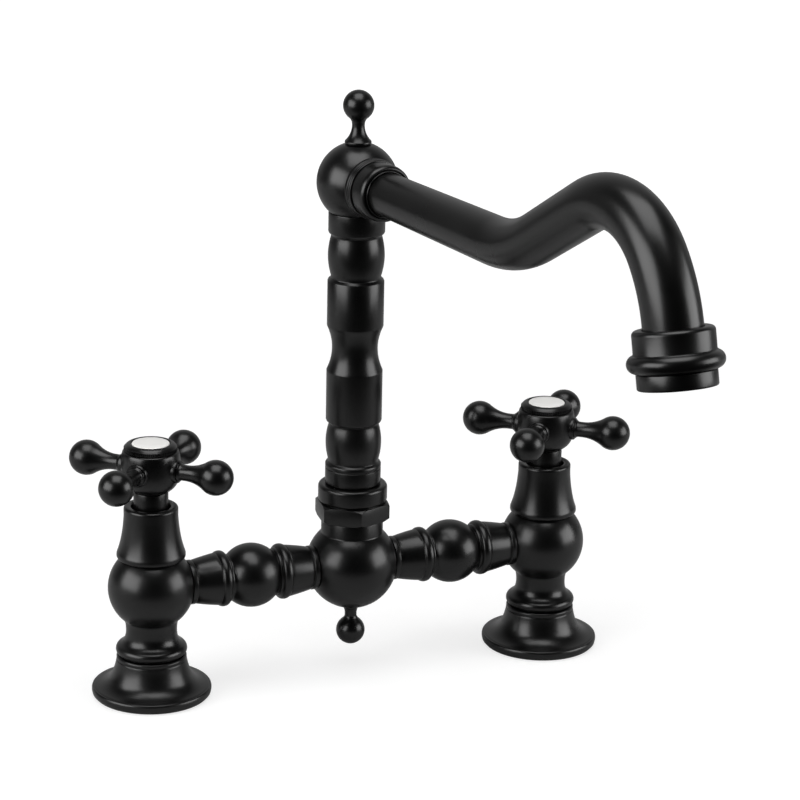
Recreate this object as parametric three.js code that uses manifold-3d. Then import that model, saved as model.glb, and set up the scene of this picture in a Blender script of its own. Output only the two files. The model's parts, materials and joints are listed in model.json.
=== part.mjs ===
// Bridge kitchen faucet: two quarter-turn valves on flanged legs, a turned bridge between them,
// and a column that carries a swivelling swan-neck spout.
//
// Millimetres, +Z up. The origin lies on the deck, midway between the two legs. +X runs along the
// bridge to the cold leg and -Y points over the basin.

import * as THREE from "three";
import { mergeVertices } from "three/addons/utils/BufferGeometryUtils.js";
import Module from "manifold-3d";

const wasm = await Module();
wasm.setup();

// ---------------------------------------------------------------------------------------------
// Driving dimensions
// ---------------------------------------------------------------------------------------------

// Whole object. Further down, a rise or a drop is measured from the bridge's axis.
const LEG_SPACING = 200;
const BRIDGE_HEIGHT = 53.5;
const HANDLE_RISE = 58.7;
const HEAD_HEIGHT = 240;

// How it stands at rest, in degrees about +Z
const SPOUT_SWING = 8;
const HOT_HANDLE_TURN = 45;
const COLD_HANDLE_TURN = 50;
const NUT_TURN = -7.3;

// Clearances between pieces that seat, screw or turn in each other
const SEAT = 0.3;
const THREAD = 0.3;
const RUNNING = 0.3;
const SEAL = 0.12;

// Legs and their flanges
const FLANGE_RADIUS = 28.2;
const FLANGE_HEIGHT = 20.4;
const FLANGE_WALL = 2.4;
const FLANGE_RIM_ROUNDING = 3.6;
const FLANGE_RIM_HEIGHT = 4.4;
const FLANGE_NECK_INSET = 0.55;
const FLANGE_THROAT_FULLNESS = 1.1;
const FLANGE_THROAT_TURN = 1.3;
const FLANGE_HOLLOW_HEIGHT = 6;
const FOOT_INSET = 0.7;
const FOOT_TAPER_HEIGHT = 2;
const FOOT_RING_WIDTH = 3;
const GASKET_WIDTH = 3.7;
const GASKET_THICKNESS = 2;
const LEG_COLLAR_RADIUS = 16.6;
const LEG_COLLAR_HEIGHT = 4.4;
const LEG_COLLAR_UNDERCUT = 0.9;
const LEG_COLLAR_UNDERCUT_HEIGHT = 2;
const LEG_COLLAR_ROUNDING = 0.8;
const LEG_NECK_RADIUS = 12.1;
const LEG_NECK_TURN = 1.7;
const LEG_NECK_ABOVE_COLLAR = 6.9;
const LEG_BALL_RADIUS = 20.25;
const LEG_SHOULDER_WIDTH = 1.5;
const LEG_SPIGOT_RADIUS = 11;
const LEG_SPIGOT_ABOVE_DECK = 1.5;
const LEG_THREAD_WALL = 3.5;
const LEG_THREAD_LENGTH = 4.8;
const INLET_RADIUS = 5.5;

// Bonnets over the cartridges
const BONNET_LENGTH = 25.3;
const BONNET_LIP_OVERHANG = 2.1;
const BONNET_LIP_ROUNDING = 0.9;
const BONNET_LIP_THICKNESS = 2.4;
const BONNET_BELL_FULLNESS = 0.4;
const BONNET_BELL_RISE = 9.6;
const BONNET_THROAT_WALL = 3.65;
const BONNET_THROAT_LENGTH = 4.8;
const BONNET_TOP_ROUNDING = 1.2;
const BONNET_MOUTH_GAP = 1.1;

// Cartridges: quarter-turn headworks with ceramic discs
const CARTRIDGE_SEAT_DROP = 8.5;
const CARTRIDGE_RADIUS = 9;
const CARTRIDGE_FLANGE_WIDTH = 2.4;
const CARTRIDGE_FLANGE_THICKNESS = 4.2;
const CARTRIDGE_NECK_WALL = 2.9;
const CARTRIDGE_NECK_RISE = 33;
const CARTRIDGE_CAVITY_RISE = 4.5;
const CARTRIDGE_CHAMBER_GAP = 1.4;
const WINDOW_BELOW_CAVITY_TOP = 1;
const WINDOW_WIDTH = 7;
const WINDOW_HEIGHT = 4.6;
const SEAT_SEAL_THICKNESS = 1.5;
const DISC_RADIUS = 6.6;
const DISC_THICKNESS = 2.4;
const DISC_OPENING_INNER_RADIUS = 1.6;
const DISC_OPENING_OUTER_RADIUS = 5.2;
const DISC_OPENING_ANGLE = 76;
const KEY_LENGTH = 11;
const KEY_WIDTH = 4;
const KEY_HEIGHT = 2.6;
const KEYWAY_DEPTH = 1;
const SPINDLE_RADIUS = 4;
const SPINDLE_COLLAR_WIDTH = 2;
const SPINDLE_COLLAR_THICKNESS = 1.7;
const SPINDLE_GROOVE_DEPTH = 0.9;
const SPINDLE_GROOVE_RISE = 16.5;
const SPINDLE_SPLINE_STEP = 0.6;
const SPINDLE_SPLINE_LENGTH = 27.2;
const SPINDLE_TOP_ABOVE_SPOKES = 3;
const O_RING_THICKNESS = 1.8;
const O_RING_GROOVE_SLACK = 0.2;

// Cross handles
const HUB_RADIUS = 12.3;
const HUB_FOOT_RADIUS = 8;
const HUB_BOWL_FULLNESS = 0.7;
const HUB_BOWL_TURN = 2;
const HUB_BOWL_RISE = 10;
const HUB_BELOW_SPOKES = 8.6;
const HUB_ABOVE_SPOKES = 8.4;
const HUB_COUNTERBORE_RADIUS = 7;
const HUB_COUNTERBORE_DEPTH = 3.8;
const HUB_WEB = 1.3;
const SPOKE_COUNT = 4;
const SPOKE_BOSS_RADIUS = 5.3;
const SPOKE_BOSS_REACH = 14.8;
const SPOKE_ROOT_FLARE = 0.9;
const SPOKE_ROOT_LENGTH = 1;
const SPOKE_NECK_RADIUS = 3.7;
const SPOKE_FLARE_RADIUS = 6.3;
const SPOKE_FLARE_START = 20;
const SPOKE_BALL_RADIUS = 8.25;
const SPOKE_REACH = 33.4;
const SPOKE_TENON_RADIUS = 2.6;
const SPOKE_TENON_LENGTH = 6;
const SLEEVE_RADIUS = 8.1;
const SLEEVE_IN_BONNET = 4.5;
const INDEX_RING_HEIGHT = 3.2;
const INDEX_RING_SHOULDER = 0.8;
const INDEX_RING_LAND = 0.3;
const INDEX_DISC_RADIUS = 8.8;
const INDEX_DISC_THICKNESS = 3.4;
const HANDLE_SCREW_RADIUS = 1.5;
const HANDLE_SCREW_LENGTH = 10;
const HANDLE_SCREW_HEAD_RADIUS = 4.2;
const HANDLE_SCREW_HEAD_THICKNESS = 2.5;
const HANDLE_SCREW_HEAD_CHAMFER = 1;

// Bridge arms
const ARM_END_RADIUS = 10.5;
const ARM_BALL_RADIUS = 15.2;
const ARM_GROOVE_WIDTH = 0.9;
const ARM_BEAD_RADIUS = 13.2;
const ARM_BEAD_SLOPE = 3;
const ARM_BEAD_LAND = 1.4;
const ARM_CONE_RADIUS = 12.1;
const ARM_CONE_STEP = 2.3;
const ARM_CONE_FULLNESS = 0.3;
const ARM_CONE_TURN = 8;
const ARM_CONE_TIP_RADIUS = 10;
const ARM_END_RING = 2.3;
const ARM_END_RING_SLOPE = 0.3;
const FLAT_MARGIN = 3;
const ARM_WATERWAY_RADIUS = 4.5;
const ARM_SPIGOT_RADIUS = 7;
const ARM_SPIGOT_LENGTH = 4;
const ARM_SEAL_THICKNESS = 1;

// Centre body and the nut that holds the column
const CENTRE_BALL_RADIUS = 21.8;
const CENTRE_NECK_RADIUS = 14.7;
const CENTRE_THREAD_RADIUS = 13.3;
const CENTRE_TOP_RISE = 32.8;
const CENTRE_CHAMBER_RADIUS = 8.5;
const CENTRE_CHAMBER_DROP = 7.5;
const CENTRE_SOCKET_RISE = 9.5;
const NUT_RISE = 23.5;
const NUT_ACROSS_CORNERS = 36.8;
const NUT_HEX_THICKNESS = 8.2;
const NUT_CHAMFER = 1.1;
const NUT_COLLAR_RADIUS = 16.4;
const NUT_COLLAR_THICKNESS = 9;
const NUT_COLLAR_UNDERCUT = 1.2;
const NUT_COLLAR_UNDERCUT_HEIGHT = 0.6;
const NUT_COLLAR_ROUNDING = 1.8;
const NUT_LIP_THICKNESS = 3.7;

// Column
const COLUMN_ABOVE_NUT = 0.4;
const COLUMN_RADIUS = 13.2;
const COLUMN_LOWER_COLLAR = 10;
const COLUMN_UPPER_COLLAR = 9.5;
const COLUMN_GROOVE_RADIUS = 11.8;
const GROOVE_SLOPE = 0.6;
const GROOVE_WIDTH = 1.7;
const BARREL_LENGTH = 21.4;
const BARREL_BULGE_RADIUS = 14.5;
const WAIST_LENGTH = 21.6;
const WAIST_PULL_RADIUS = 8.3;
const COLUMN_BORE_RADIUS = 7.2;
const COLUMN_JOURNAL_RADIUS = 11.9;
const COLUMN_SPIGOT_RADIUS = 9.8;
const COLUMN_SPIGOT_LENGTH = 20.6;
const COLUMN_O_RING_RISE = 20.5;
const COLUMN_O_RING_GROOVE_DEPTH = 1.5;
const COLUMN_TENON_RADIUS = 9.4;
const COLUMN_TENON_LENGTH = 6;
const RETAINING_RING_RADIUS = 13.3;
const RETAINING_RING_THICKNESS = 1.5;
const RETAINING_GROOVE_RADIUS = 10.7;
const RETAINING_RING_SPLIT = 3;
const THRUST_WASHER_THICKNESS = 0.8;

// Spout head, with its reaches measured from the column's axis
const HEAD_BALL_RADIUS = 18.9;
const HEAD_BOSS_OVERHANG = 0.7;
const HEAD_BOSS_REACH = 17.9;
const HEAD_NIPPLE_WALL = 1.6;
const HEAD_NIPPLE_REACH = 23.1;
const HEAD_CHAMBER_ABOVE_AXIS = 8;
const UNION_WALL = 1.7;
const UNION_RING_REACH = 25.5;
const UNION_NOSE_REACH = 28.2;
const UNION_NOSE_TAPER = 0.4;
const UNION_NOSE_ROUNDING = 0.6;
const UNION_TUBE_GAP = 0.4;
const REAR_CAP_RADIUS = 9.6;
const REAR_CAP_ROUNDING = 2;
const REAR_CAP_REACH = 22;
const REAR_THREAD_RADIUS = 7;
const REAR_THREAD_LENGTH = 5.6;

// Swan-neck spout, along its centre line
const TUBE_RADIUS = 10;
const TUBE_WIDENING = 2.3;
const TUBE_WALL = 1.6;
const TUBE_TAIL_REACH = 14.5;
const TUBE_RUN_REACH = 119.6;
const DIP_RADIUS = 69;
const RISE_ANGLE = 30.4;
const RISE_LENGTH = 42.6;
const CROWN_RADIUS = 38.6;
const CROWN_DESCENT = 50.9;
const BEAK_RADIUS = 65.8;
const BEAK_TILT = 12.9;
const DROP_LENGTH = 1.5;

// Outlet and aerator, measured along the tilted axis of the tube's mouth
const OUTLET_COLLAR_WALL = 4.4;
const OUTLET_COLLAR_ROUNDING = 1.6;
const OUTLET_OVERLAP = 2;
const OUTLET_COLLAR_LENGTH = 9.6;
const OUTLET_BEAD_STAND = 3;
const OUTLET_BEAD_THICKNESS = 7.4;
const OUTLET_BEAD_TURN = 78;
const OUTLET_NIPPLE_WALL = 2.2;
const OUTLET_NIPPLE_LENGTH = 2.4;
const AERATOR_CUP_WALL = 3.4;
const AERATOR_CUP_LENGTH = 6.4;
const AERATOR_CUP_CHAMFER = 0.8;
const AERATOR_LEDGE_WIDTH = 0.7;
const AERATOR_LIP = 1.8;
const AERATOR_WASHER_WIDTH = 3.4;
const AERATOR_WASHER_THICKNESS = 1;
const AERATOR_RIM_THICKNESS = 0.6;
const AERATOR_INSERT_DEPTH = 1.3;
const AERATOR_HOLE_RADIUS = 2.6;
const AERATOR_HOLE_CIRCLE = 7.4;
const AERATOR_HOLE_COUNT = 6;

// Finials
const FINIAL_FOOT_RADIUS = 6.2;
const FINIAL_FOOT_THICKNESS = 1.3;
const FINIAL_NECK_RADIUS = 2.95;
const FINIAL_NECK_FROM = 0.2;
const FINIAL_NECK_TO = 0.48;
const FINIAL_NECK_FLARE = 0.4;
const FINIAL_SCREW_RADIUS = 2.4;
const FINIAL_SCREW_LENGTH = 5.5;
const TOP_FINIAL_LENGTH = 24.9;
const TOP_FINIAL_BALL_RADIUS = 7.2;
const BOTTOM_FINIAL_LENGTH = 19.9;
const BOTTOM_FINIAL_BALL_RADIUS = 6.9;

// Facets round a turned piece
const LARGE = 16;
const MEDIUM = 12;
const SMALL = 8;

// How far a cutter runs past the face that it cuts
const PAST = 1;

// ---------------------------------------------------------------------------------------------
// Solids and outlines
// ---------------------------------------------------------------------------------------------

const radians = THREE.MathUtils.degToRad;
const degrees = THREE.MathUtils.radToDeg;

// How far from a ball's centre its surface is this wide.
function ballReach(ballRadius, width) {
  return Math.sqrt(ballRadius ** 2 - width ** 2);
}

// How many degrees above its equator a ball is this wide.
function ballAngle(ballRadius, width) {
  return degrees(Math.acos(width / ballRadius));
}

// A faceted hole that clears a shaft however the two are turned.
function boreFor(shaftRadius, clearance, facets) {
  return (shaftRadius + clearance) / Math.cos(Math.PI / facets);
}

// A closed geometry as a solid that can be joined and cut.
function solidOf(geometry) {
  const bare = geometry.clone();
  bare.deleteAttribute("normal");
  bare.deleteAttribute("uv");
  const merged = mergeVertices(bare, 1e-4);
  const corners = merged.index.array;
  const kept = [];
  for (let i = 0; i < corners.length; i += 3) {
    const [a, b, c] = corners.slice(i, i + 3);
    if (a !== b && b !== c && c !== a) kept.push(a, b, c);
  }
  return new wasm.Manifold(new wasm.Mesh({
    numProp: 3,
    vertProperties: new Float32Array(merged.attributes.position.array),
    triVerts: new Uint32Array(kept),
  }));
}

// A solid turned about Z. The profile is a list of [radius, height] that runs up the outside, and
// either starts and ends on the axis or comes back down a bore.
function turned(profile, facets) {
  const closed = profile[0][0] === 0 ? profile : [...profile, profile[0]];
  const points = closed.map(([radius, height]) => new THREE.Vector2(radius, height));
  return solidOf(new THREE.LatheGeometry(points, facets).rotateX(Math.PI / 2));
}

// The same, turned about X, with distances along X in place of heights.
function turnedAboutX(profile, facets) {
  return turned(profile, facets).rotate([0, 90, 0]);
}

function cylinder(radius, bottom, top, facets) {
  return turned([[0, bottom], [radius, bottom], [radius, top], [0, top]], facets);
}

function cylinderAlongX(radius, from, to, facets) {
  return cylinder(radius, from, to, facets).rotate([0, 90, 0]);
}

function ring(inner, outer, bottom, top, facets) {
  return turned([[outer, bottom], [outer, top], [inner, top], [inner, bottom]], facets);
}

// A ring with a lozenge section, as an O-ring squeezed in its groove.
function oRing(inner, outer, height, facets) {
  const middle = (inner + outer) / 2;
  const half = O_RING_THICKNESS / 2;
  const section = [[middle, height - half], [outer, height], [middle, height + half], [inner, height]];
  return turned(section, facets);
}

function box(width, depth, bottom, top) {
  const block = new THREE.BoxGeometry(width, depth, top - bottom);
  return solidOf(block.translate(0, 0, (bottom + top) / 2));
}

// Points on a circle about [x, y] between two angles in degrees.
function arc(x, y, radius, from, to, steps) {
  return Array.from({ length: steps + 1 }, (_, i) => {
    const angle = radians(from + ((to - from) * i) / steps);
    return [x + radius * Math.cos(angle), y + radius * Math.sin(angle)];
  });
}

// Points on a curve that leaves one point toward a second and ends on a third.
function sweep(start, toward, end, steps) {
  return Array.from({ length: steps + 1 }, (_, i) => {
    const t = i / steps;
    const at = (k) => (1 - t) ** 2 * start[k] + 2 * t * (1 - t) * toward[k] + t ** 2 * end[k];
    return [at(0), at(1)];
  });
}

const BLACK = { color: 0x1b1b1c, roughness: 0.42, metalness: 0.3 };
const BRASS = { color: 0xb08a4a, roughness: 0.35, metalness: 0.9 };
const CERAMIC = { color: 0xf2f1ec, roughness: 0.2, metalness: 0 };
const RUBBER = { color: 0x242424, roughness: 0.8, metalness: 0 };
const STEEL = { color: 0xb8bcc0, roughness: 0.3, metalness: 1 };
const NYLON = { color: 0x8c8f90, roughness: 0.45, metalness: 0 };

function piece(name, solid, finish) {
  const { vertProperties, triVerts } = solid.getMesh();
  const geometry = new THREE.BufferGeometry();
  geometry.setAttribute("position", new THREE.BufferAttribute(vertProperties, 3));
  geometry.setIndex(new THREE.BufferAttribute(triVerts, 1));
  geometry.computeVertexNormals();
  const mesh = new THREE.Mesh(geometry, new THREE.MeshStandardMaterial(finish));
  mesh.name = name;
  return mesh;
}

function group(x, z, turn, members) {
  const made = new THREE.Group();
  made.position.set(x, 0, z);
  made.rotation.z = radians(turn);
  made.add(...members);
  return made;
}

// ---------------------------------------------------------------------------------------------
// Heights and reaches that several pieces share
// ---------------------------------------------------------------------------------------------

const handleHeight = BRIDGE_HEIGHT + HANDLE_RISE;

const footRadius = FLANGE_RADIUS - FOOT_INSET;
const gasketSeat = footRadius - FOOT_RING_WIDTH;
const legFoot = FLANGE_HEIGHT + SEAT;
const legThread = CARTRIDGE_RADIUS + LEG_THREAD_WALL;
const legShoulderRadius = legThread + LEG_SHOULDER_WIDTH;
const legShoulder = BRIDGE_HEIGHT + ballReach(LEG_BALL_RADIUS, legShoulderRadius);
const legTop = legShoulder + LEG_THREAD_LENGTH;
const legFace = ballReach(LEG_BALL_RADIUS, ARM_END_RADIUS);
const centreFace = ballReach(CENTRE_BALL_RADIUS, ARM_END_RADIUS);
const armSocketDepth = ARM_SPIGOT_LENGTH + ARM_SEAL_THICKNESS + SEAT;
const armLength = LEG_SPACING / 2 - legFace - centreFace - 2 * SEAT;

const bonnetTop = legShoulder + SEAT + BONNET_LENGTH;
const cartridgeSeat = BRIDGE_HEIGHT - CARTRIDGE_SEAT_DROP;
const cartridgeFlangeRadius = CARTRIDGE_RADIUS + CARTRIDGE_FLANGE_WIDTH;
const cartridgeFlange = legTop + SEAT;
const cartridgeFlangeTop = cartridgeFlange + CARTRIDGE_FLANGE_THICKNESS;
const cavityTop = BRIDGE_HEIGHT + CARTRIDGE_CAVITY_RISE;
const sealBottom = cartridgeSeat + SEAT;
const cartridgeBottom = sealBottom + SEAT_SEAL_THICKNESS + SEAT;
const turningDiscBottom = cartridgeBottom + DISC_THICKNESS + SEAT;
const keyBottom = turningDiscBottom + DISC_THICKNESS - KEYWAY_DEPTH + SEAT;
const spindleGroove = BRIDGE_HEIGHT + SPINDLE_GROOVE_RISE;
const spindleGrooveRadius = SPINDLE_RADIUS - SPINDLE_GROOVE_DEPTH;
const spindleSpline = SPINDLE_RADIUS - SPINDLE_SPLINE_STEP;
const spindleTop = handleHeight + SPINDLE_TOP_ABOVE_SPOKES;
const oRingGrooveHalf = O_RING_THICKNESS / 2 + O_RING_GROOVE_SLACK;

const hubBottom = handleHeight - HUB_BELOW_SPOKES;
const hubTop = handleHeight + HUB_ABOVE_SPOKES;
const hubCounterbore = hubTop - HUB_COUNTERBORE_DEPTH;

const centreTop = BRIDGE_HEIGHT + CENTRE_TOP_RISE;
const centreBottom = BRIDGE_HEIGHT - ballReach(CENTRE_BALL_RADIUS, FINIAL_FOOT_RADIUS);
const nutBottom = BRIDGE_HEIGHT + NUT_RISE;
const nutHexTop = nutBottom + NUT_HEX_THICKNESS;
const nutCollarTop = nutHexTop + NUT_COLLAR_THICKNESS;
const nutLip = nutCollarTop - NUT_LIP_THICKNESS;
const retainingRingTop = nutLip - RUNNING;
const washerBottom = centreTop + SEAT;
const columnShoulder = washerBottom + THRUST_WASHER_THICKNESS + SEAT;
const columnORing = BRIDGE_HEIGHT + COLUMN_O_RING_RISE;
const columnORingGroove = COLUMN_SPIGOT_RADIUS - COLUMN_O_RING_GROOVE_DEPTH;

const headSeat = HEAD_HEIGHT - ballReach(HEAD_BALL_RADIUS, COLUMN_RADIUS);
const headTop = HEAD_HEIGHT + ballReach(HEAD_BALL_RADIUS, FINIAL_FOOT_RADIUS);
const columnTop = headSeat - SEAT;
const rearFace = ballReach(HEAD_BALL_RADIUS, REAR_CAP_RADIUS);
const nippleRadius = TUBE_RADIUS + HEAD_NIPPLE_WALL;
const unionRadius = nippleRadius + UNION_WALL;
const bossRadius = unionRadius + HEAD_BOSS_OVERHANG;

const mouthRadius = TUBE_RADIUS + TUBE_WIDENING;
const outletWaterway = mouthRadius - TUBE_WALL;
const outletNipple = outletWaterway + OUTLET_NIPPLE_WALL;
const outletRadius = mouthRadius + OUTLET_COLLAR_WALL;
const aeratorMouth = outletNipple - AERATOR_LEDGE_WIDTH;
const beadBottom = OUTLET_OVERLAP - OUTLET_COLLAR_LENGTH - OUTLET_BEAD_THICKNESS;
const cupTop = beadBottom - SEAT;
const cupBottom = cupTop - AERATOR_CUP_LENGTH;
const cupLedge = cupBottom + AERATOR_LIP;

// ---------------------------------------------------------------------------------------------
// Legs
// ---------------------------------------------------------------------------------------------

function baseFlange() {
  const neck = LEG_COLLAR_RADIUS - FLANGE_NECK_INSET;
  const rim = arc(
    FLANGE_RADIUS - FLANGE_RIM_ROUNDING, FLANGE_RIM_HEIGHT, FLANGE_RIM_ROUNDING, 0, 70, 2,
  );
  const rimTop = rim.at(-1);
  const throat = [neck + FLANGE_THROAT_FULLNESS, rimTop[1] + FLANGE_THROAT_TURN];
  const trumpet = sweep(rimTop, throat, [neck, FLANGE_HEIGHT], 3);
  const hole = LEG_SPIGOT_RADIUS + THREAD;
  const roof = FLANGE_HEIGHT - FLANGE_WALL;
  const gasketInner = gasketSeat - GASKET_WIDTH - SEAT;
  const gasketRoof = GASKET_THICKNESS + SEAT;
  return turned([
    [footRadius, 0], [FLANGE_RADIUS, FOOT_TAPER_HEIGHT], ...rim, ...trumpet.slice(1),
    [hole, FLANGE_HEIGHT], [hole, roof],
    [neck - FLANGE_WALL, roof], [gasketInner, FLANGE_HOLLOW_HEIGHT],
    [gasketInner, gasketRoof], [gasketSeat, gasketRoof], [gasketSeat, 0],
  ], LARGE);
}

function baseGasket() {
  const outer = gasketSeat - SEAT;
  return ring(outer - GASKET_WIDTH + SEAT, outer, 0, GASKET_THICKNESS, LARGE);
}

// Foot collar, neck and ball turned in one, bored for the cartridge and drilled for the bridge.
function valveBody() {
  const collar = LEG_COLLAR_RADIUS;
  const collarTop = legFoot + LEG_COLLAR_HEIGHT;
  const neck = LEG_NECK_RADIUS;
  const bore = boreFor(CARTRIDGE_RADIUS, THREAD, LARGE);
  const chamber = CARTRIDGE_RADIUS + CARTRIDGE_CHAMBER_GAP;
  const chamberBottom = cartridgeBottom + DISC_THICKNESS;
  const turning = turned([
    [INLET_RADIUS, LEG_SPIGOT_ABOVE_DECK],
    [LEG_SPIGOT_RADIUS, LEG_SPIGOT_ABOVE_DECK],
    [LEG_SPIGOT_RADIUS, legFoot],
    [collar - LEG_COLLAR_UNDERCUT, legFoot],
    [collar, legFoot + LEG_COLLAR_UNDERCUT_HEIGHT],
    [collar, collarTop - LEG_COLLAR_ROUNDING],
    ...sweep([collar - LEG_COLLAR_ROUNDING, collarTop], [neck, collarTop + LEG_NECK_TURN],
      [neck, collarTop + LEG_NECK_ABOVE_COLLAR], 2),
    ...arc(0, BRIDGE_HEIGHT, LEG_BALL_RADIUS,
      -ballAngle(LEG_BALL_RADIUS, neck), ballAngle(LEG_BALL_RADIUS, legShoulderRadius), 4),
    [legThread, legShoulder],
    [legThread, legTop],
    [bore, legTop],
    [bore, cavityTop],
    [chamber, cavityTop],
    [chamber, chamberBottom],
    [bore, chamberBottom],
    [bore, cartridgeSeat],
    [INLET_RADIUS, cartridgeSeat],
  ], LARGE);
  return turning.subtract(armPort(legFace).translate([0, 0, BRIDGE_HEIGHT]));
}

// What is cut from a ball where an arm meets it: a flat face, a socket and a waterway, toward +X.
function armPort(face) {
  const clear = face + LEG_BALL_RADIUS / 2;
  const flat = cylinderAlongX(ARM_END_RADIUS + FLAT_MARGIN, face, clear, MEDIUM);
  const socket = cylinderAlongX(ARM_SPIGOT_RADIUS + THREAD, face - armSocketDepth, clear, MEDIUM);
  const waterway = cylinderAlongX(ARM_WATERWAY_RADIUS, CENTRE_CHAMBER_RADIUS - PAST, clear, SMALL);
  return flat.add(socket).add(waterway);
}

function bonnet() {
  const bottom = legShoulder + SEAT;
  const lip = legShoulderRadius + BONNET_LIP_OVERHANG;
  const lipTop = bottom + BONNET_LIP_THICKNESS;
  const throat = CARTRIDGE_RADIUS + BONNET_THROAT_WALL;
  const rounding = BONNET_TOP_ROUNDING;
  const mouth = SLEEVE_RADIUS + BONNET_MOUTH_GAP;
  const thread = boreFor(legThread, THREAD, MEDIUM);
  const room = boreFor(cartridgeFlangeRadius, THREAD, MEDIUM);
  const ledge = cartridgeFlangeTop + SEAT;
  return turned([
    [thread, bottom],
    [lip - BONNET_LIP_ROUNDING, bottom],
    [lip, bottom + BONNET_LIP_ROUNDING],
    [lip, lipTop],
    ...sweep([lip - BONNET_LIP_ROUNDING / 2, lipTop + rounding],
      [throat + BONNET_BELL_FULLNESS, bottom + BONNET_BELL_RISE],
      [throat, bonnetTop - BONNET_THROAT_LENGTH], 3),
    [throat, bonnetTop - rounding],
    [throat - rounding, bonnetTop],
    [mouth, bonnetTop],
    [mouth, ledge],
    [room, ledge],
    [room, legTop + SEAT],
    [thread, legTop + SEAT],
  ], MEDIUM);
}

function cartridgeBody() {
  const cavity = boreFor(DISC_RADIUS, RUNNING, MEDIUM);
  const stem = boreFor(SPINDLE_RADIUS, RUNNING, MEDIUM);
  const neck = SPINDLE_RADIUS + CARTRIDGE_NECK_WALL;
  const neckTop = BRIDGE_HEIGHT + CARTRIDGE_NECK_RISE;
  const windowTop = cavityTop - WINDOW_BELOW_CAVITY_TOP;
  const turning = turned([
    [cavity, cartridgeBottom],
    [CARTRIDGE_RADIUS, cartridgeBottom],
    [CARTRIDGE_RADIUS, cartridgeFlange],
    [cartridgeFlangeRadius, cartridgeFlange],
    [cartridgeFlangeRadius, cartridgeFlangeTop],
    [neck, cartridgeFlangeTop],
    [neck, neckTop],
    [stem, neckTop],
    [stem, cavityTop],
    [cavity, cavityTop],
  ], MEDIUM);
  const windows = box(4 * CARTRIDGE_RADIUS, WINDOW_WIDTH, windowTop - WINDOW_HEIGHT, windowTop);
  return turning.subtract(windows);
}

// A ceramic disc with two opposite sector openings along X.
function ceramicDisc(bottom) {
  const vectors = (points) => points.map(([x, y]) => new THREE.Vector2(x, y));
  const lastCorner = 360 - 360 / MEDIUM;
  const outline = new THREE.Shape(vectors(arc(0, 0, DISC_RADIUS, 0, lastCorner, MEDIUM - 1)));
  for (const middle of [0, 180]) {
    const from = middle - DISC_OPENING_ANGLE / 2;
    const to = middle + DISC_OPENING_ANGLE / 2;
    outline.holes.push(new THREE.Path(vectors([
      ...arc(0, 0, DISC_OPENING_OUTER_RADIUS, from, to, 2),
      ...arc(0, 0, DISC_OPENING_INNER_RADIUS, to, from, 1),
    ])));
  }
  const extruded = new THREE.ExtrudeGeometry(outline, { depth: DISC_THICKNESS, bevelEnabled: false });
  return solidOf(extruded.translate(0, 0, bottom));
}

// The disc that turns has a keyway across the web between its openings. It stands shut at rest, a
// quarter turn away from the fixed one.
function turningDisc() {
  const keyway = box(
    KEY_WIDTH + 2 * SEAT, 3 * DISC_RADIUS, keyBottom - SEAT, keyBottom + DISC_THICKNESS,
  );
  return ceramicDisc(turningDiscBottom).subtract(keyway).rotate([0, 0, 90]);
}

function spindle() {
  const collar = SPINDLE_RADIUS + SPINDLE_COLLAR_WIDTH;
  const collarTop = cavityTop - RUNNING;
  const collarBottom = collarTop - SPINDLE_COLLAR_THICKNESS;
  const splineBottom = spindleTop - SPINDLE_SPLINE_LENGTH;
  const screwHole = boreFor(HANDLE_SCREW_RADIUS, THREAD, SMALL);
  const screwHoleFloor = spindleTop - HANDLE_SCREW_LENGTH;
  const shaft = turned([
    [0, keyBottom + KEY_HEIGHT / 2],
    [SPINDLE_RADIUS, keyBottom + KEY_HEIGHT / 2],
    [SPINDLE_RADIUS, collarBottom],
    [collar, collarBottom],
    [collar, collarTop],
    [SPINDLE_RADIUS, collarTop],
    [SPINDLE_RADIUS, spindleGroove - oRingGrooveHalf],
    [spindleGrooveRadius, spindleGroove - oRingGrooveHalf],
    [spindleGrooveRadius, spindleGroove + oRingGrooveHalf],
    [SPINDLE_RADIUS, spindleGroove + oRingGrooveHalf],
    [SPINDLE_RADIUS, splineBottom],
    [spindleSpline, splineBottom],
    [spindleSpline, spindleTop],
    [screwHole, spindleTop],
    [screwHole, screwHoleFloor],
    [0, screwHoleFloor],
  ], SMALL);
  return shaft.add(box(KEY_LENGTH, KEY_WIDTH, keyBottom, keyBottom + KEY_HEIGHT));
}

function leg(side, x, facing) {
  const sealOuter = CARTRIDGE_RADIUS - RUNNING;
  return group(x, 0, facing, [
    piece(`${side}_base_flange`, baseFlange(), BLACK),
    piece(`${side}_base_gasket`, baseGasket(), RUBBER),
    piece(`${side}_valve_body`, valveBody(), BLACK),
    piece(`${side}_bonnet`, bonnet(), BLACK),
    piece(`${side}_cartridge_body`, cartridgeBody(), BRASS),
    piece(`${side}_fixed_disc`, ceramicDisc(cartridgeBottom), CERAMIC),
    piece(`${side}_seat_seal`,
      ring(INLET_RADIUS, sealOuter, sealBottom, sealBottom + SEAT_SEAL_THICKNESS, SMALL), RUBBER),
  ]);
}

// ---------------------------------------------------------------------------------------------
// Cross handles
// ---------------------------------------------------------------------------------------------

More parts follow.
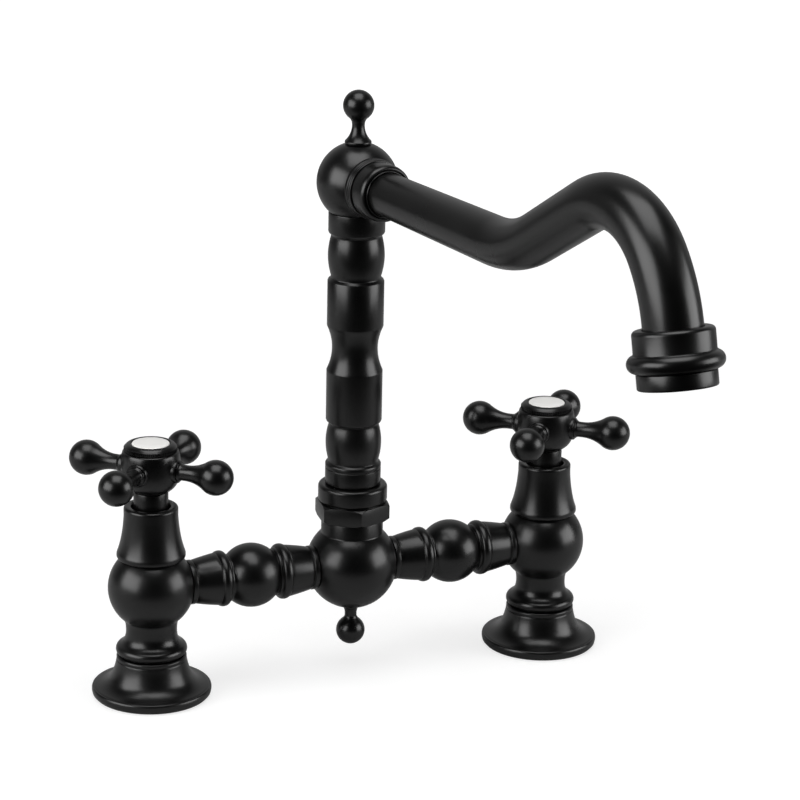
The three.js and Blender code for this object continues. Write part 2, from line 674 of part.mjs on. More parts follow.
function hub() {
  const spindleHole = boreFor(spindleSpline, THREAD, MEDIUM);
  const screwHole = boreFor(HANDLE_SCREW_RADIUS, THREAD, MEDIUM);
  const web = hubCounterbore - HUB_WEB;
  let solid = turned([
    [spindleHole, hubBottom],
    ...sweep([HUB_FOOT_RADIUS, hubBottom], [HUB_RADIUS - HUB_BOWL_FULLNESS, hubBottom + HUB_BOWL_TURN],
      [HUB_RADIUS, hubBottom + HUB_BOWL_RISE], 2),
    [HUB_RADIUS, hubTop],
    [HUB_COUNTERBORE_RADIUS, hubTop],
    [HUB_COUNTERBORE_RADIUS, hubCounterbore],
    [screwHole, hubCounterbore],
    [screwHole, web],
    [spindleHole, web],
  ], MEDIUM);
  const boss = cylinderAlongX(SPOKE_BOSS_RADIUS, HUB_COUNTERBORE_RADIUS + PAST, SPOKE_BOSS_REACH, SMALL);
  const holeFloor = SPOKE_BOSS_REACH - SPOKE_TENON_LENGTH - SEAT;
  const hole = cylinderAlongX(SPOKE_TENON_RADIUS + THREAD, holeFloor, SPOKE_BOSS_REACH + PAST, SMALL);
  for (let k = 0; k < SPOKE_COUNT; k += 1) {
    const turn = [0, 0, (360 / SPOKE_COUNT) * k];
    solid = solid.add(boss.translate([0, 0, handleHeight]).rotate(turn));
    solid = solid.subtract(hole.translate([0, 0, handleHeight]).rotate(turn));
  }
  return solid;
}

// A turned spoke along X, from its tenon in the hub to the ball at its end.
function spoke() {
  const shoulder = SPOKE_BOSS_REACH + SEAT;
  const neck = SPOKE_NECK_RADIUS;
  const flareEnd = SPOKE_REACH - ballReach(SPOKE_BALL_RADIUS, SPOKE_FLARE_RADIUS);
  const profile = [
    [0, shoulder - SPOKE_TENON_LENGTH],
    [SPOKE_TENON_RADIUS, shoulder - SPOKE_TENON_LENGTH],
    [SPOKE_TENON_RADIUS, shoulder],
    [neck + SPOKE_ROOT_FLARE, shoulder],
    [neck, shoulder + SPOKE_ROOT_LENGTH],
    [neck, SPOKE_FLARE_START],
    [SPOKE_FLARE_RADIUS, flareEnd],
    ...arc(0, SPOKE_REACH, SPOKE_BALL_RADIUS,
      -ballAngle(SPOKE_BALL_RADIUS, SPOKE_FLARE_RADIUS), 90, 4).slice(1, -1),
    [0, SPOKE_REACH + SPOKE_BALL_RADIUS],
  ];
  return turnedAboutX(profile, SMALL);
}

function indexRing() {
  const bottom = hubTop + SEAT;
  const inner = INDEX_DISC_RADIUS + SEAT;
  return turned([
    [inner, bottom],
    [HUB_RADIUS, bottom],
    [HUB_RADIUS, bottom + INDEX_RING_HEIGHT - INDEX_RING_SHOULDER],
    [inner + INDEX_RING_LAND, bottom + INDEX_RING_HEIGHT],
    [inner, bottom + INDEX_RING_HEIGHT],
  ], MEDIUM);
}

function handleScrew() {
  const head = hubCounterbore + SEAT;
  const headTop = head + HANDLE_SCREW_HEAD_THICKNESS;
  const chamfer = HANDLE_SCREW_HEAD_CHAMFER;
  return turned([
    [0, head - HANDLE_SCREW_LENGTH],
    [HANDLE_SCREW_RADIUS, head - HANDLE_SCREW_LENGTH],
    [HANDLE_SCREW_RADIUS, head],
    [HANDLE_SCREW_HEAD_RADIUS, head],
    [HANDLE_SCREW_HEAD_RADIUS, headTop - chamfer],
    [HANDLE_SCREW_HEAD_RADIUS - chamfer, headTop],
    [0, headTop],
  ], SMALL);
}

function handle(side, x, turn) {
  const spindleHole = boreFor(spindleSpline, THREAD, SMALL);
  const sleeve = ring(spindleHole, SLEEVE_RADIUS, bonnetTop - SLEEVE_IN_BONNET, hubBottom - SEAT, SMALL);
  const disc = cylinder(INDEX_DISC_RADIUS, hubTop + SEAT, hubTop + SEAT + INDEX_DISC_THICKNESS, MEDIUM);
  const seal = oRing(spindleGrooveRadius + SEAL, SPINDLE_RADIUS + SEAL, spindleGroove, SMALL);
  const cross = [
    piece(`${side}_hub`, hub(), BLACK),
    piece(`${side}_index_ring`, indexRing(), BLACK),
    piece(`${side}_index_disc`, disc, CERAMIC),
    piece(`${side}_handle_screw`, handleScrew(), STEEL),
  ];
  for (let k = 0; k < SPOKE_COUNT; k += 1) {
    const solid = spoke().rotate([0, 0, (360 / SPOKE_COUNT) * k]).translate([0, 0, handleHeight]);
    cross.push(piece(`${side}_spoke_${k + 1}`, solid, BLACK));
  }
  return group(x, 0, 0, [
    piece(`${side}_turning_disc`, turningDisc(), CERAMIC),
    piece(`${side}_spindle`, spindle(), BRASS),
    piece(`${side}_spindle_o_ring`, seal, RUBBER),
    piece(`${side}_spindle_sleeve`, sleeve, BLACK),
    group(0, 0, turn, cross),
  ]);
}

// ---------------------------------------------------------------------------------------------
// Bridge
// ---------------------------------------------------------------------------------------------

// A turned arm along X, alike on both sides of its ball, with a spigot at each end.
function bridgeArm() {
  const half = armLength / 2;
  const end = half + ARM_SPIGOT_LENGTH;
  const endRing = half - ARM_END_RING;
  const ballEnd = ballReach(ARM_BALL_RADIUS, ARM_END_RADIUS);
  const grooveEnd = ballEnd + ARM_GROOVE_WIDTH;
  const bead = grooveEnd + ARM_BEAD_SLOPE;
  const beadEnd = bead + ARM_BEAD_LAND;
  const side = [
    ...arc(0, 0, ARM_BALL_RADIUS, 0, ballAngle(ARM_BALL_RADIUS, ARM_END_RADIUS), 2),
    [ARM_END_RADIUS, grooveEnd],
    [ARM_BEAD_RADIUS, bead],
    [ARM_BEAD_RADIUS, beadEnd],
    ...sweep([ARM_CONE_RADIUS, beadEnd + ARM_CONE_STEP],
      [ARM_CONE_RADIUS - ARM_CONE_FULLNESS, half - ARM_CONE_TURN],
      [ARM_CONE_TIP_RADIUS, endRing - ARM_END_RING_SLOPE], 2),
    [ARM_END_RADIUS, endRing],
    [ARM_END_RADIUS, half],
    [ARM_SPIGOT_RADIUS, half],
    [ARM_SPIGOT_RADIUS, end],
  ];
  const mirrored = side.slice(1).reverse().map(([radius, x]) => [radius, -x]);
  return turnedAboutX([
    ...mirrored, ...side, [ARM_WATERWAY_RADIUS, end], [ARM_WATERWAY_RADIUS, -end],
  ], MEDIUM);
}

// Ball, neck and thread turned in one, with the mixing chamber and the column's socket bored out.
function centreBody() {
  const socket = boreFor(COLUMN_SPIGOT_RADIUS, RUNNING, LARGE);
  const socketFloor = BRIDGE_HEIGHT + CENTRE_SOCKET_RISE;
  const chamberFloor = BRIDGE_HEIGHT - CENTRE_CHAMBER_DROP;
  const neckTop = nutBottom - SEAT;
  const turning = turned([
    [0, centreBottom],
    ...arc(0, BRIDGE_HEIGHT, CENTRE_BALL_RADIUS,
      -ballAngle(CENTRE_BALL_RADIUS, FINIAL_FOOT_RADIUS),
      ballAngle(CENTRE_BALL_RADIUS, CENTRE_NECK_RADIUS), 6),
    [CENTRE_NECK_RADIUS, neckTop],
    [CENTRE_THREAD_RADIUS, neckTop],
    [CENTRE_THREAD_RADIUS, centreTop],
    [socket, centreTop],
    [socket, socketFloor],
    [CENTRE_CHAMBER_RADIUS, socketFloor],
    [CENTRE_CHAMBER_RADIUS, chamberFloor],
    [0, chamberFloor],
  ], LARGE);
  const port = armPort(centreFace).translate([0, 0, BRIDGE_HEIGHT]);
  const finialHole = cylinder(
    FINIAL_SCREW_RADIUS + THREAD, centreBottom - PAST, centreBottom + FINIAL_SCREW_LENGTH, SMALL,
  );
  return turning.subtract(port).subtract(port.rotate([0, 0, 180])).subtract(finialHole);
}

function spoutNut() {
  const corner = NUT_ACROSS_CORNERS / 2;
  const bevelled = corner - NUT_CHAMFER;
  const neck = NUT_COLLAR_RADIUS - NUT_COLLAR_UNDERCUT;
  const rounding = NUT_COLLAR_ROUNDING;
  const hexagon = turned([
    [0, nutBottom],
    [bevelled, nutBottom],
    [corner, nutBottom + NUT_CHAMFER],
    [corner, nutHexTop - NUT_CHAMFER],
    [bevelled, nutHexTop],
    [0, nutHexTop],
  ], 6);
  const collar = turned([
    [0, nutHexTop - PAST],
    [neck, nutHexTop - PAST],
    [neck, nutHexTop + NUT_COLLAR_UNDERCUT_HEIGHT],
    [NUT_COLLAR_RADIUS, nutHexTop + 2 * NUT_COLLAR_UNDERCUT_HEIGHT],
    ...arc(NUT_COLLAR_RADIUS - rounding, nutCollarTop - rounding, rounding, 0, 90, 2),
    [0, nutCollarTop],
  ], LARGE);
  const thread = cylinder(
    boreFor(CENTRE_THREAD_RADIUS, THREAD, LARGE), nutBottom - PAST, nutLip, LARGE,
  );
  const mouth = cylinder(
    boreFor(COLUMN_JOURNAL_RADIUS, RUNNING, LARGE), nutLip - PAST, nutCollarTop + PAST, LARGE,
  );
  return hexagon.add(collar).subtract(thread).subtract(mouth).rotate([0, 0, NUT_TURN]);
}

// A turned finial that stands on its foot, with a screw below it.
function finial(length, ballRadius) {
  const ballHeight = length - ballRadius;
  const foot = FINIAL_FOOT_RADIUS;
  const neck = FINIAL_NECK_RADIUS;
  const neckFrom = FINIAL_NECK_FROM * ballHeight;
  const neckTo = FINIAL_NECK_TO * ballHeight;
  const ballRoot = ballAngle(ballRadius, neck + FINIAL_NECK_FLARE);
  return turned([
    [0, SEAT - FINIAL_SCREW_LENGTH],
    [FINIAL_SCREW_RADIUS, SEAT - FINIAL_SCREW_LENGTH],
    [FINIAL_SCREW_RADIUS, 0],
    [foot, 0],
    ...sweep([foot, FINIAL_FOOT_THICKNESS], [neck, neckFrom], [neck, neckTo], 3),
    ...arc(0, ballHeight, ballRadius, -ballRoot, 90, 5).slice(0, -1),
    [0, length],
  ], SMALL);
}

function bridge() {
  const middle = centreFace + SEAT + armLength / 2;
  const sealInner = ARM_WATERWAY_RADIUS;
  const sealBottomAt = (face) => face - armSocketDepth + SEAT;
  const armSeal = (face) => turnedAboutX([
    [sealInner, sealBottomAt(face)],
    [ARM_SPIGOT_RADIUS, sealBottomAt(face)],
    [ARM_SPIGOT_RADIUS, sealBottomAt(face) + ARM_SEAL_THICKNESS - SEAT],
    [sealInner, sealBottomAt(face) + ARM_SEAL_THICKNESS - SEAT],
  ], SMALL);
  const sides = [["hot", -1, 0], ["cold", 1, 180]].flatMap(([side, sign, facing]) => [
    group(sign * middle, BRIDGE_HEIGHT, 0, [piece(`${side}_bridge_arm`, bridgeArm(), BLACK)]),
    group(sign * LEG_SPACING / 2, BRIDGE_HEIGHT, facing, [
      piece(`${side}_arm_leg_seal`, armSeal(legFace), RUBBER),
    ]),
    group(0, BRIDGE_HEIGHT, 180 - facing, [
      piece(`${side}_arm_centre_seal`, armSeal(centreFace), RUBBER),
    ]),
  ]);
  const washer = ring(
    boreFor(COLUMN_SPIGOT_RADIUS, RUNNING, MEDIUM), CENTRE_THREAD_RADIUS,
    washerBottom, washerBottom + THRUST_WASHER_THICKNESS, MEDIUM,
  );
  const lowerFinial = finial(BOTTOM_FINIAL_LENGTH, BOTTOM_FINIAL_BALL_RADIUS)
    .rotate([180, 0, 0])
    .translate([0, 0, centreBottom - SEAT]);
  return [
    ...sides,
    piece("centre_body", centreBody(), BLACK),
    piece("bottom_finial", lowerFinial, BLACK),
    piece("spout_nut", spoutNut(), BLACK),
    piece("thrust_washer", washer, NYLON),
  ];
}

// ---------------------------------------------------------------------------------------------
// Spout, built with +X over the basin
// ---------------------------------------------------------------------------------------------

// The swelling between two grooves that the column carries below and above its plain lengths.
function barrel(bottom) {
  const top = bottom + BARREL_LENGTH;
  const groove = COLUMN_GROOVE_RADIUS;
  return [
    [groove, bottom + GROOVE_SLOPE],
    ...sweep([groove, bottom + GROOVE_WIDTH], [BARREL_BULGE_RADIUS, bottom + BARREL_LENGTH / 2],
      [groove, top - GROOVE_WIDTH], 4),
    [groove, top - GROOVE_SLOPE],
  ];
}

function column() {
  const bottom = nutCollarTop + COLUMN_ABOVE_NUT;
  const spigotBottom = columnShoulder - COLUMN_SPIGOT_LENGTH - SEAT;
  const ringGroove = retainingRingTop - RETAINING_RING_THICKNESS - SEAT;
  const ringGrooveTop = retainingRingTop + SEAT;
  const lowerBarrel = bottom + COLUMN_LOWER_COLLAR;
  const lowerBarrelTop = lowerBarrel + BARREL_LENGTH;
  const upperBarrel = columnTop - COLUMN_UPPER_COLLAR - BARREL_LENGTH;
  const waist = (lowerBarrelTop + upperBarrel) / 2;
  const waistHalf = WAIST_LENGTH / 2;
  const tenonTop = columnTop + COLUMN_TENON_LENGTH;
  return turned([
    [COLUMN_BORE_RADIUS, spigotBottom],
    [COLUMN_SPIGOT_RADIUS, spigotBottom],
    [COLUMN_SPIGOT_RADIUS, columnORing - oRingGrooveHalf],
    [columnORingGroove, columnORing - oRingGrooveHalf],
    [columnORingGroove, columnORing + oRingGrooveHalf],
    [COLUMN_SPIGOT_RADIUS, columnORing + oRingGrooveHalf],
    [COLUMN_SPIGOT_RADIUS, columnShoulder],
    [COLUMN_JOURNAL_RADIUS, columnShoulder],
    [COLUMN_JOURNAL_RADIUS, ringGroove],
    [RETAINING_GROOVE_RADIUS, ringGroove],
    [RETAINING_GROOVE_RADIUS, ringGrooveTop],
    [COLUMN_JOURNAL_RADIUS, ringGrooveTop],
    [COLUMN_JOURNAL_RADIUS, bottom],
    [COLUMN_RADIUS, bottom],
    [COLUMN_RADIUS, lowerBarrel],
    ...barrel(lowerBarrel),
    [COLUMN_RADIUS, lowerBarrelTop],
    ...sweep([COLUMN_RADIUS, waist - waistHalf], [WAIST_PULL_RADIUS, waist],
      [COLUMN_RADIUS, waist + waistHalf], 5),
    [COLUMN_RADIUS, upperBarrel],
    ...barrel(upperBarrel),
    [COLUMN_RADIUS, upperBarrel + BARREL_LENGTH],
    [COLUMN_RADIUS, columnTop],
    [COLUMN_TENON_RADIUS, columnTop],
    [COLUMN_TENON_RADIUS, tenonTop],
    [COLUMN_BORE_RADIUS, tenonTop],
  ], MEDIUM);
}

// A flat ring, split so that it can be sprung into the column's groove.
function retainingRing() {
  const bottom = retainingRingTop - RETAINING_RING_THICKNESS;
  const whole = ring(
    RETAINING_GROOVE_RADIUS + SEAT, RETAINING_RING_RADIUS, bottom, retainingRingTop, MEDIUM,
  );
  const split = box(
    2 * RETAINING_RING_RADIUS, RETAINING_RING_SPLIT, bottom - PAST, retainingRingTop + PAST,
  );
  return whole.subtract(split.translate([RETAINING_RING_RADIUS, 0, 0]));
}

// A ball drilled upward for the column, across for the spout and its rear cap, and tapped on top.
function spoutHead() {
  const ball = turned([
    [0, headSeat],
    ...arc(0, HEAD_HEIGHT, HEAD_BALL_RADIUS,
      -ballAngle(HEAD_BALL_RADIUS, COLUMN_RADIUS),
      ballAngle(HEAD_BALL_RADIUS, FINIAL_FOOT_RADIUS), 5),
    [0, headTop],
  ], LARGE);
  const bossRoot = ballReach(HEAD_BALL_RADIUS, bossRadius) - PAST;
  const boss = cylinderAlongX(bossRadius, bossRoot, HEAD_BOSS_REACH, MEDIUM);
  const nipple = cylinderAlongX(nippleRadius, bossRoot, HEAD_NIPPLE_REACH, MEDIUM);

  const socketTop = columnTop + COLUMN_TENON_LENGTH + SEAT;
  const spotFace = cylinder(COLUMN_RADIUS + SEAT, HEAD_HEIGHT - bossRadius - PAST, headSeat, MEDIUM);
  const socket = cylinder(COLUMN_TENON_RADIUS + SEAT, headSeat - PAST, socketTop, MEDIUM);
  const chamberTop = HEAD_HEIGHT + HEAD_CHAMBER_ABOVE_AXIS;
  const chamber = cylinder(COLUMN_BORE_RADIUS, socketTop - PAST, chamberTop, MEDIUM);
  const finialHole = cylinder(
    FINIAL_SCREW_RADIUS + THREAD, headTop - FINIAL_SCREW_LENGTH, headTop + PAST, SMALL,
  );

  const rear = HEAD_BALL_RADIUS + PAST;
  const rearFlat = cylinderAlongX(REAR_CAP_RADIUS + FLAT_MARGIN, -rear, -rearFace, MEDIUM);
  const rearHole = cylinderAlongX(REAR_THREAD_RADIUS + THREAD, -rear, 0, MEDIUM);
  const waterway = cylinderAlongX(TUBE_RADIUS - TUBE_WALL, 0, HEAD_NIPPLE_REACH + PAST, MEDIUM);
  const tubeSocket = cylinderAlongX(
    TUBE_RADIUS + SEAT, TUBE_TAIL_REACH - SEAT, HEAD_NIPPLE_REACH + PAST, MEDIUM,
  );
  const raise = [0, 0, HEAD_HEIGHT];
  return ball
    .add(boss.add(nipple).translate(raise))
    .subtract(rearFlat.add(waterway).add(tubeSocket).add(rearHole).translate(raise))
    .subtract(spotFace.add(socket).add(chamber).add(finialHole));
}

function rearCap() {
  const face = rearFace + SEAT;
  const rounding = REAR_CAP_ROUNDING;
  const profile = [
    [0, face - REAR_THREAD_LENGTH],
    [REAR_THREAD_RADIUS, face - REAR_THREAD_LENGTH],
    [REAR_THREAD_RADIUS, face],
    [REAR_CAP_RADIUS, face],
    ...arc(REAR_CAP_RADIUS - rounding, REAR_CAP_REACH - rounding, rounding, 0, 90, 2),
    [0, REAR_CAP_REACH],
  ];
  return turnedAboutX(profile, MEDIUM).rotate([0, 0, 180]).translate([0, 0, HEAD_HEIGHT]);
}

function unionNut() {
  const bottom = HEAD_BOSS_REACH + SEAT;
  const thread = nippleRadius + THREAD;
  const threadEnd = HEAD_NIPPLE_REACH + SEAT;
  const hole = TUBE_RADIUS + UNION_TUBE_GAP;
  const profile = [
    [thread, bottom],
    [unionRadius, bottom],
    ...sweep([unionRadius, UNION_RING_REACH],
      [unionRadius - UNION_NOSE_TAPER, UNION_NOSE_REACH - UNION_NOSE_ROUNDING],
      [hole + UNION_TUBE_GAP, UNION_NOSE_REACH], 2),
    [hole, UNION_NOSE_REACH],
    [hole, threadEnd],
    [thread, threadEnd],
  ];
  return turnedAboutX(profile, MEDIUM).translate([0, 0, HEAD_HEIGHT]);
}

// The swan neck's centre line, as stations with a place, a heading in degrees above level and the
// distance travelled: level, up through the dip, along the rise, over the crown and down the beak.
function swanNeck() {
  const stations = [{ x: TUBE_TAIL_REACH, z: HEAD_HEIGHT, heading: 0, travelled: 0 }];
  const forward = (length) => {
    const { x, z, heading, travelled } = stations.at(-1);
    const angle = radians(heading);
    stations.push({
      x: x + length * Math.cos(angle),
      z: z + length * Math.sin(angle),
      heading,
      travelled: travelled + length,
    });
  };
  const bend = (radius, turn, steps) => {
    const start = stations.at(-1);
    const side = Math.sign(turn) * radius;
    for (let i = 1; i <= steps; i += 1) {
      const heading = start.heading + (turn * i) / steps;
      stations.push({
        x: start.x + side * (Math.sin(radians(heading)) - Math.sin(radians(start.heading))),
        z: start.z + side * (Math.cos(radians(start.heading)) - Math.cos(radians(heading))),
        heading,
        travelled: start.travelled + (radius * radians(Math.abs(turn)) * i) / steps,
      });
    }
  };
  forward(TUBE_RUN_REACH - TUBE_TAIL_REACH);
  bend(DIP_RADIUS, RISE_ANGLE, 3);
  forward(RISE_LENGTH);
  bend(CROWN_RADIUS, -RISE_ANGLE - CROWN_DESCENT, 5);
  bend(BEAK_RADIUS, CROWN_DESCENT + BEAK_TILT - 90, 2);
  forward(DROP_LENGTH);
  return stations;
}

// A tube lofted along the swan neck that widens steadily from its tail to its mouth.
function spoutTube() {
  const stations = swanNeck();
  const length = stations.at(-1).travelled;
  const positions = [];
  const circle = (station, inset) => {
    const radius = THREE.MathUtils.mapLinear(
      station.travelled, 0, length, TUBE_RADIUS, mouthRadius) - inset;
    const heading = radians(station.heading);
    for (let k = 0; k < MEDIUM; k += 1) {
      const angle = (2 * Math.PI * k) / MEDIUM;
      const up = radius * Math.cos(angle);
      positions.push(
        station.x - up * Math.sin(heading), radius * Math.sin(angle), station.z + up * Math.cos(heading),
      );
    }
  };
  for (const station of stations) circle(station, 0);
  for (const station of stations.toReversed()) circle(station, TUBE_WALL);
  const circles = 2 * stations.length;
  const index = [];
  for (let i = 0; i < circles; i += 1) {
    for (let k = 0; k < MEDIUM; k += 1) {
      const next = (k + 1) % MEDIUM;
      const a = i * MEDIUM + k;
      const b = i * MEDIUM + next;
      const c = ((i + 1) % circles) * MEDIUM + k;
      const d = ((i + 1) % circles) * MEDIUM + next;
      index.push(a, c, b, b, c, d);
    }
  }
  const geometry = new THREE.BufferGeometry();
  geometry.setAttribute("position", new THREE.Float32BufferAttribute(positions, 3));
  geometry.setIndex(index);
  return solidOf(geometry);
}

function outletBody() {
  const beadSection = OUTLET_BEAD_THICKNESS / 2;
  const beadMiddle = outletRadius + OUTLET_BEAD_STAND - beadSection;
  const rounding = OUTLET_COLLAR_ROUNDING;
  const socket = boreFor(mouthRadius, SEAT, LARGE);
  const nippleEnd = beadBottom - OUTLET_NIPPLE_LENGTH;
  return turned([
    [outletWaterway, nippleEnd],
    [outletNipple, nippleEnd],
    [outletNipple, beadBottom],
    ...arc(beadMiddle, beadBottom + beadSection, beadSection, -90, OUTLET_BEAD_TURN, 4),
    [outletRadius, beadBottom + OUTLET_BEAD_THICKNESS],
    ...arc(outletRadius - rounding, OUTLET_OVERLAP - rounding, rounding, 0, 90, 2),
    [socket, OUTLET_OVERLAP],
    [socket, -SEAT],
    [outletWaterway, -SEAT],
  ], LARGE);
}

function aeratorHousing() {
  const cup = outletNipple + AERATOR_CUP_WALL;
  const thread = outletNipple + THREAD;
  return turned([
    [aeratorMouth, cupBottom],
    [cup - AERATOR_CUP_CHAMFER, cupBottom],
    [cup, cupBottom + AERATOR_CUP_CHAMFER],
    [cup, cupTop],
    [thread, cupTop],
    [thread, cupLedge],
    [aeratorMouth, cupLedge],
  ], LARGE);
}

// A pierced plate that drops into the housing and hangs by its rim from the ledge.
function aeratorInsert() {
  const rimBottom = cupLedge + SEAT;
  const rimTop = rimBottom + AERATOR_RIM_THICKNESS;
  const body = aeratorMouth - SEAT;
  const bottom = rimBottom - AERATOR_INSERT_DEPTH;
  let plate = turned([
    [0, bottom],
    [body, bottom],
    [body, rimBottom],
    [outletNipple, rimBottom],
    [outletNipple, rimTop],
    [0, rimTop],
  ], MEDIUM);
  const hole = cylinder(AERATOR_HOLE_RADIUS, bottom - PAST, rimTop + PAST, 6);
  plate = plate.subtract(hole);
  for (let k = 0; k < AERATOR_HOLE_COUNT; k += 1) {
    const turn = (360 / AERATOR_HOLE_COUNT) * k;
    plate = plate.subtract(hole.translate([AERATOR_HOLE_CIRCLE, 0, 0]).rotate([0, 0, turn]));
  }
  return plate;
}

function outlet() {
  const washerTop = beadBottom - OUTLET_NIPPLE_LENGTH - SEAT;
  const washer = ring(
    outletNipple - AERATOR_WASHER_WIDTH, outletNipple,
    washerTop - AERATOR_WASHER_THICKNESS, washerTop, LARGE,
  );
  const mouth = swanNeck().at(-1);
  const made = group(mouth.x, mouth.z, 0, [
    piece("outlet_body", outletBody(), BLACK),
    piece("aerator_housing", aeratorHousing(), BLACK),
    piece("aerator_insert", aeratorInsert(), NYLON),
    piece("aerator_washer", washer, RUBBER),
  ]);
  made.rotation.y = -radians(BEAK_TILT);
  return made;
}

function spout() {
  const seal = oRing(columnORingGroove + SEAL, COLUMN_SPIGOT_RADIUS + SEAL, columnORing, MEDIUM);
  const upperFinial = finial(TOP_FINIAL_LENGTH, TOP_FINIAL_BALL_RADIUS).translate([0, 0, headTop + SEAT]);
  return group(0, 0, SPOUT_SWING - 90, [
    piece("column", column(), BLACK),
    piece("column_o_ring", seal, RUBBER),
    piece("retaining_ring", retainingRing(), STEEL),
    piece("spout_head", spoutHead(), BLACK),
    piece("top_finial", upperFinial, BLACK),
    piece("rear_cap", rearCap(), BLACK),
    piece("union_nut", unionNut(), BLACK),
    piece("spout_tube", spoutTube(), BLACK),
    outlet(),
  ]);
}

// ---------------------------------------------------------------------------------------------
// Assembly
// ---------------------------------------------------------------------------------------------

const faucet = new THREE.Group();
faucet.add(
  leg("hot", -LEG_SPACING / 2, 0),
  leg("cold", LEG_SPACING / 2, 180),
  handle("hot", -LEG_SPACING / 2, HOT_HANDLE_TURN),
  handle("cold", LEG_SPACING / 2, COLD_HANDLE_TURN),
  ...bridge(),
  spout(),
);

export default faucet;
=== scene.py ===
"""Bridge kitchen faucet in matt black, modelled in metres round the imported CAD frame.

The black shell, the seals set in it, the index discs and the aerator are turned, swept or cut here
at full roundness from the sizes below, and each stands for the CAD node of the same name. The
works of the cartridges, the screws, the retaining ring and the O-rings of spindles and column
stay CAD nodes.
"""
import json
from math import acos, atan2, cos, degrees, hypot, pi, radians, sin, sqrt

import bpy
from mathutils import Matrix, Vector


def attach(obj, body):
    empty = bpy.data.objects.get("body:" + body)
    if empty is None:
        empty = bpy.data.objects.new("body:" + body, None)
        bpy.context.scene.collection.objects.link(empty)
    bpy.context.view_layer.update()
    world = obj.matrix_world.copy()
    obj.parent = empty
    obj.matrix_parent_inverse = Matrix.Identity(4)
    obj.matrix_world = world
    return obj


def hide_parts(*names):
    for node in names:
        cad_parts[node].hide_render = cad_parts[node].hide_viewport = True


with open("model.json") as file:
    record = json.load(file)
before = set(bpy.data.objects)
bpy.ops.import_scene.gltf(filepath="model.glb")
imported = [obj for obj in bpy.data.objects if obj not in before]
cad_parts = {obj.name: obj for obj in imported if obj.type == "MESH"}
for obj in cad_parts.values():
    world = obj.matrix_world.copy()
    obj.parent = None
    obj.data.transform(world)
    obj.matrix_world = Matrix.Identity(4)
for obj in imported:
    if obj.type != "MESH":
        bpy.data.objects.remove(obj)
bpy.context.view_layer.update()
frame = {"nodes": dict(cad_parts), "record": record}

slot_of = {part["node"]: part["material_slot"] for part in frame["record"]["subparts"]}


# ---------------------------------------------------------------------------------------------
# Outlines
# ---------------------------------------------------------------------------------------------

def ball_reach(ball, width):
    """How far from a ball's centre its surface is this wide."""
    return sqrt(ball ** 2 - width ** 2)


def ball_angle(ball, width):
    """How many degrees above its equator a ball is this wide."""
    return degrees(acos(width / ball))


def arc(radius, height, size, start, end, step):
    """Steps on a circle of the given size about (radius, height), between two angles in degrees."""
    count = max(1, round(abs(end - start) / step))
    angles = [radians(start + (end - start) * i / count) for i in range(count + 1)]
    return [(radius + size * cos(a), height + size * sin(a)) for a in angles]


def sweep(start, toward, end, count):
    """Steps on a curve that leaves one point toward a second and ends on a third."""
    steps = []
    for i in range(count + 1):
        t = i / count
        a, b, c = (1 - t) ** 2, 2 * t * (1 - t), t ** 2
        steps.append(tuple(a * s + b * w + c * e for s, w, e in zip(start, toward, end)))
    return steps


# ---------------------------------------------------------------------------------------------
# Sizes in millimetres and angles in degrees. Widths of round pieces are radii
# ---------------------------------------------------------------------------------------------

MM = 0.001

LEG_SPACING = 200
BRIDGE_HEIGHT = 53.5
HANDLE_HEIGHT = 112.2
HEAD_HEIGHT = 240

SPOUT_SWING = 8
HANDLE_TURNS = {"hot": 45, "cold": 50}
NUT_TURN = 22.7

# Balls, and the necks and flats on them
LEG_BALL = 20.25
LEG_NECK = 12.9
LEG_SHOULDER = 14
ARM_BALL = 15.2
ARM_END = 10.5
CENTRE_BALL = 21.8
CENTRE_NECK = 15
COLUMN = 13.2
HEAD_BALL = 18.9
HEAD_BOSS = 14
REAR_FLAT = 9.6
FINIAL_FLAT = 6.2

# Gap between pieces that seat on or in each other
SEAT = 0.3

# Legs and handles
LEG_INLET = 5.5
LEG_SPIGOT = 11
LEG_THREAD = 12.5
LEG_THREAD_LENGTH = 4.8
FLANGE_HEIGHT = 20.4
FLANGE_WALL = 2.4
GASKET = 24.2
GASKET_WIDTH = 3.4
GASKET_THICKNESS = 2
CARTRIDGE = 9
CARTRIDGE_SEAT = 45
BONNET_HEIGHT = 25.3
SLEEVE_IN_BONNET = 4.5
SLEEVE_TOP = 100.9
HUB_ABOVE_SPOKES = 8.4
BOSS_FACE = 14.8
SPOKE_TENON = 2.6
INDEX_DISC = 8.8

# Bridge and centre
ARM_SPIGOT = 7
ARM_SPIGOT_LENGTH = 4
ARM_SOCKET_DEPTH = 5.3
ARM_SEAL_THICKNESS = 0.7
ARM_WATERWAY = 4.5
FINIAL_SCREW = 2.4
FINIAL_SCREW_LENGTH = 5.2
NUT_BOTTOM = 77
NUT_TOP = 94.2
CENTRE_THREAD = 13.3
CENTRE_TOP = 86.3
WASHER_THICKNESS = 0.8

# Spout. Its swan neck runs level, then up through a dip, along a rise, over a crown, down a beak
COLUMN_BORE = 7.2
COLUMN_SPIGOT = 9.8
COLUMN_TENON = 9.4
COLUMN_TENON_LENGTH = 6
CAP_SPIGOT = 7
UNION_THREAD = 11.6
UNION_START = 18.2
TUBE_START = 14.5
TUBE_RADIUS = 10
TUBE_WIDENING = 2.3
TUBE_WALL = 1.6
RUN_REACH = 119.6
DIP_RADIUS = 69
RISE_ANGLE = 30.4
RISE_LENGTH = 42.6
CROWN_RADIUS = 38.6
CROWN_DESCENT = 50.9
BEAK_RADIUS = 65.8
BEAK_TILT = 12.9
MOUTH_LENGTH = 1.5

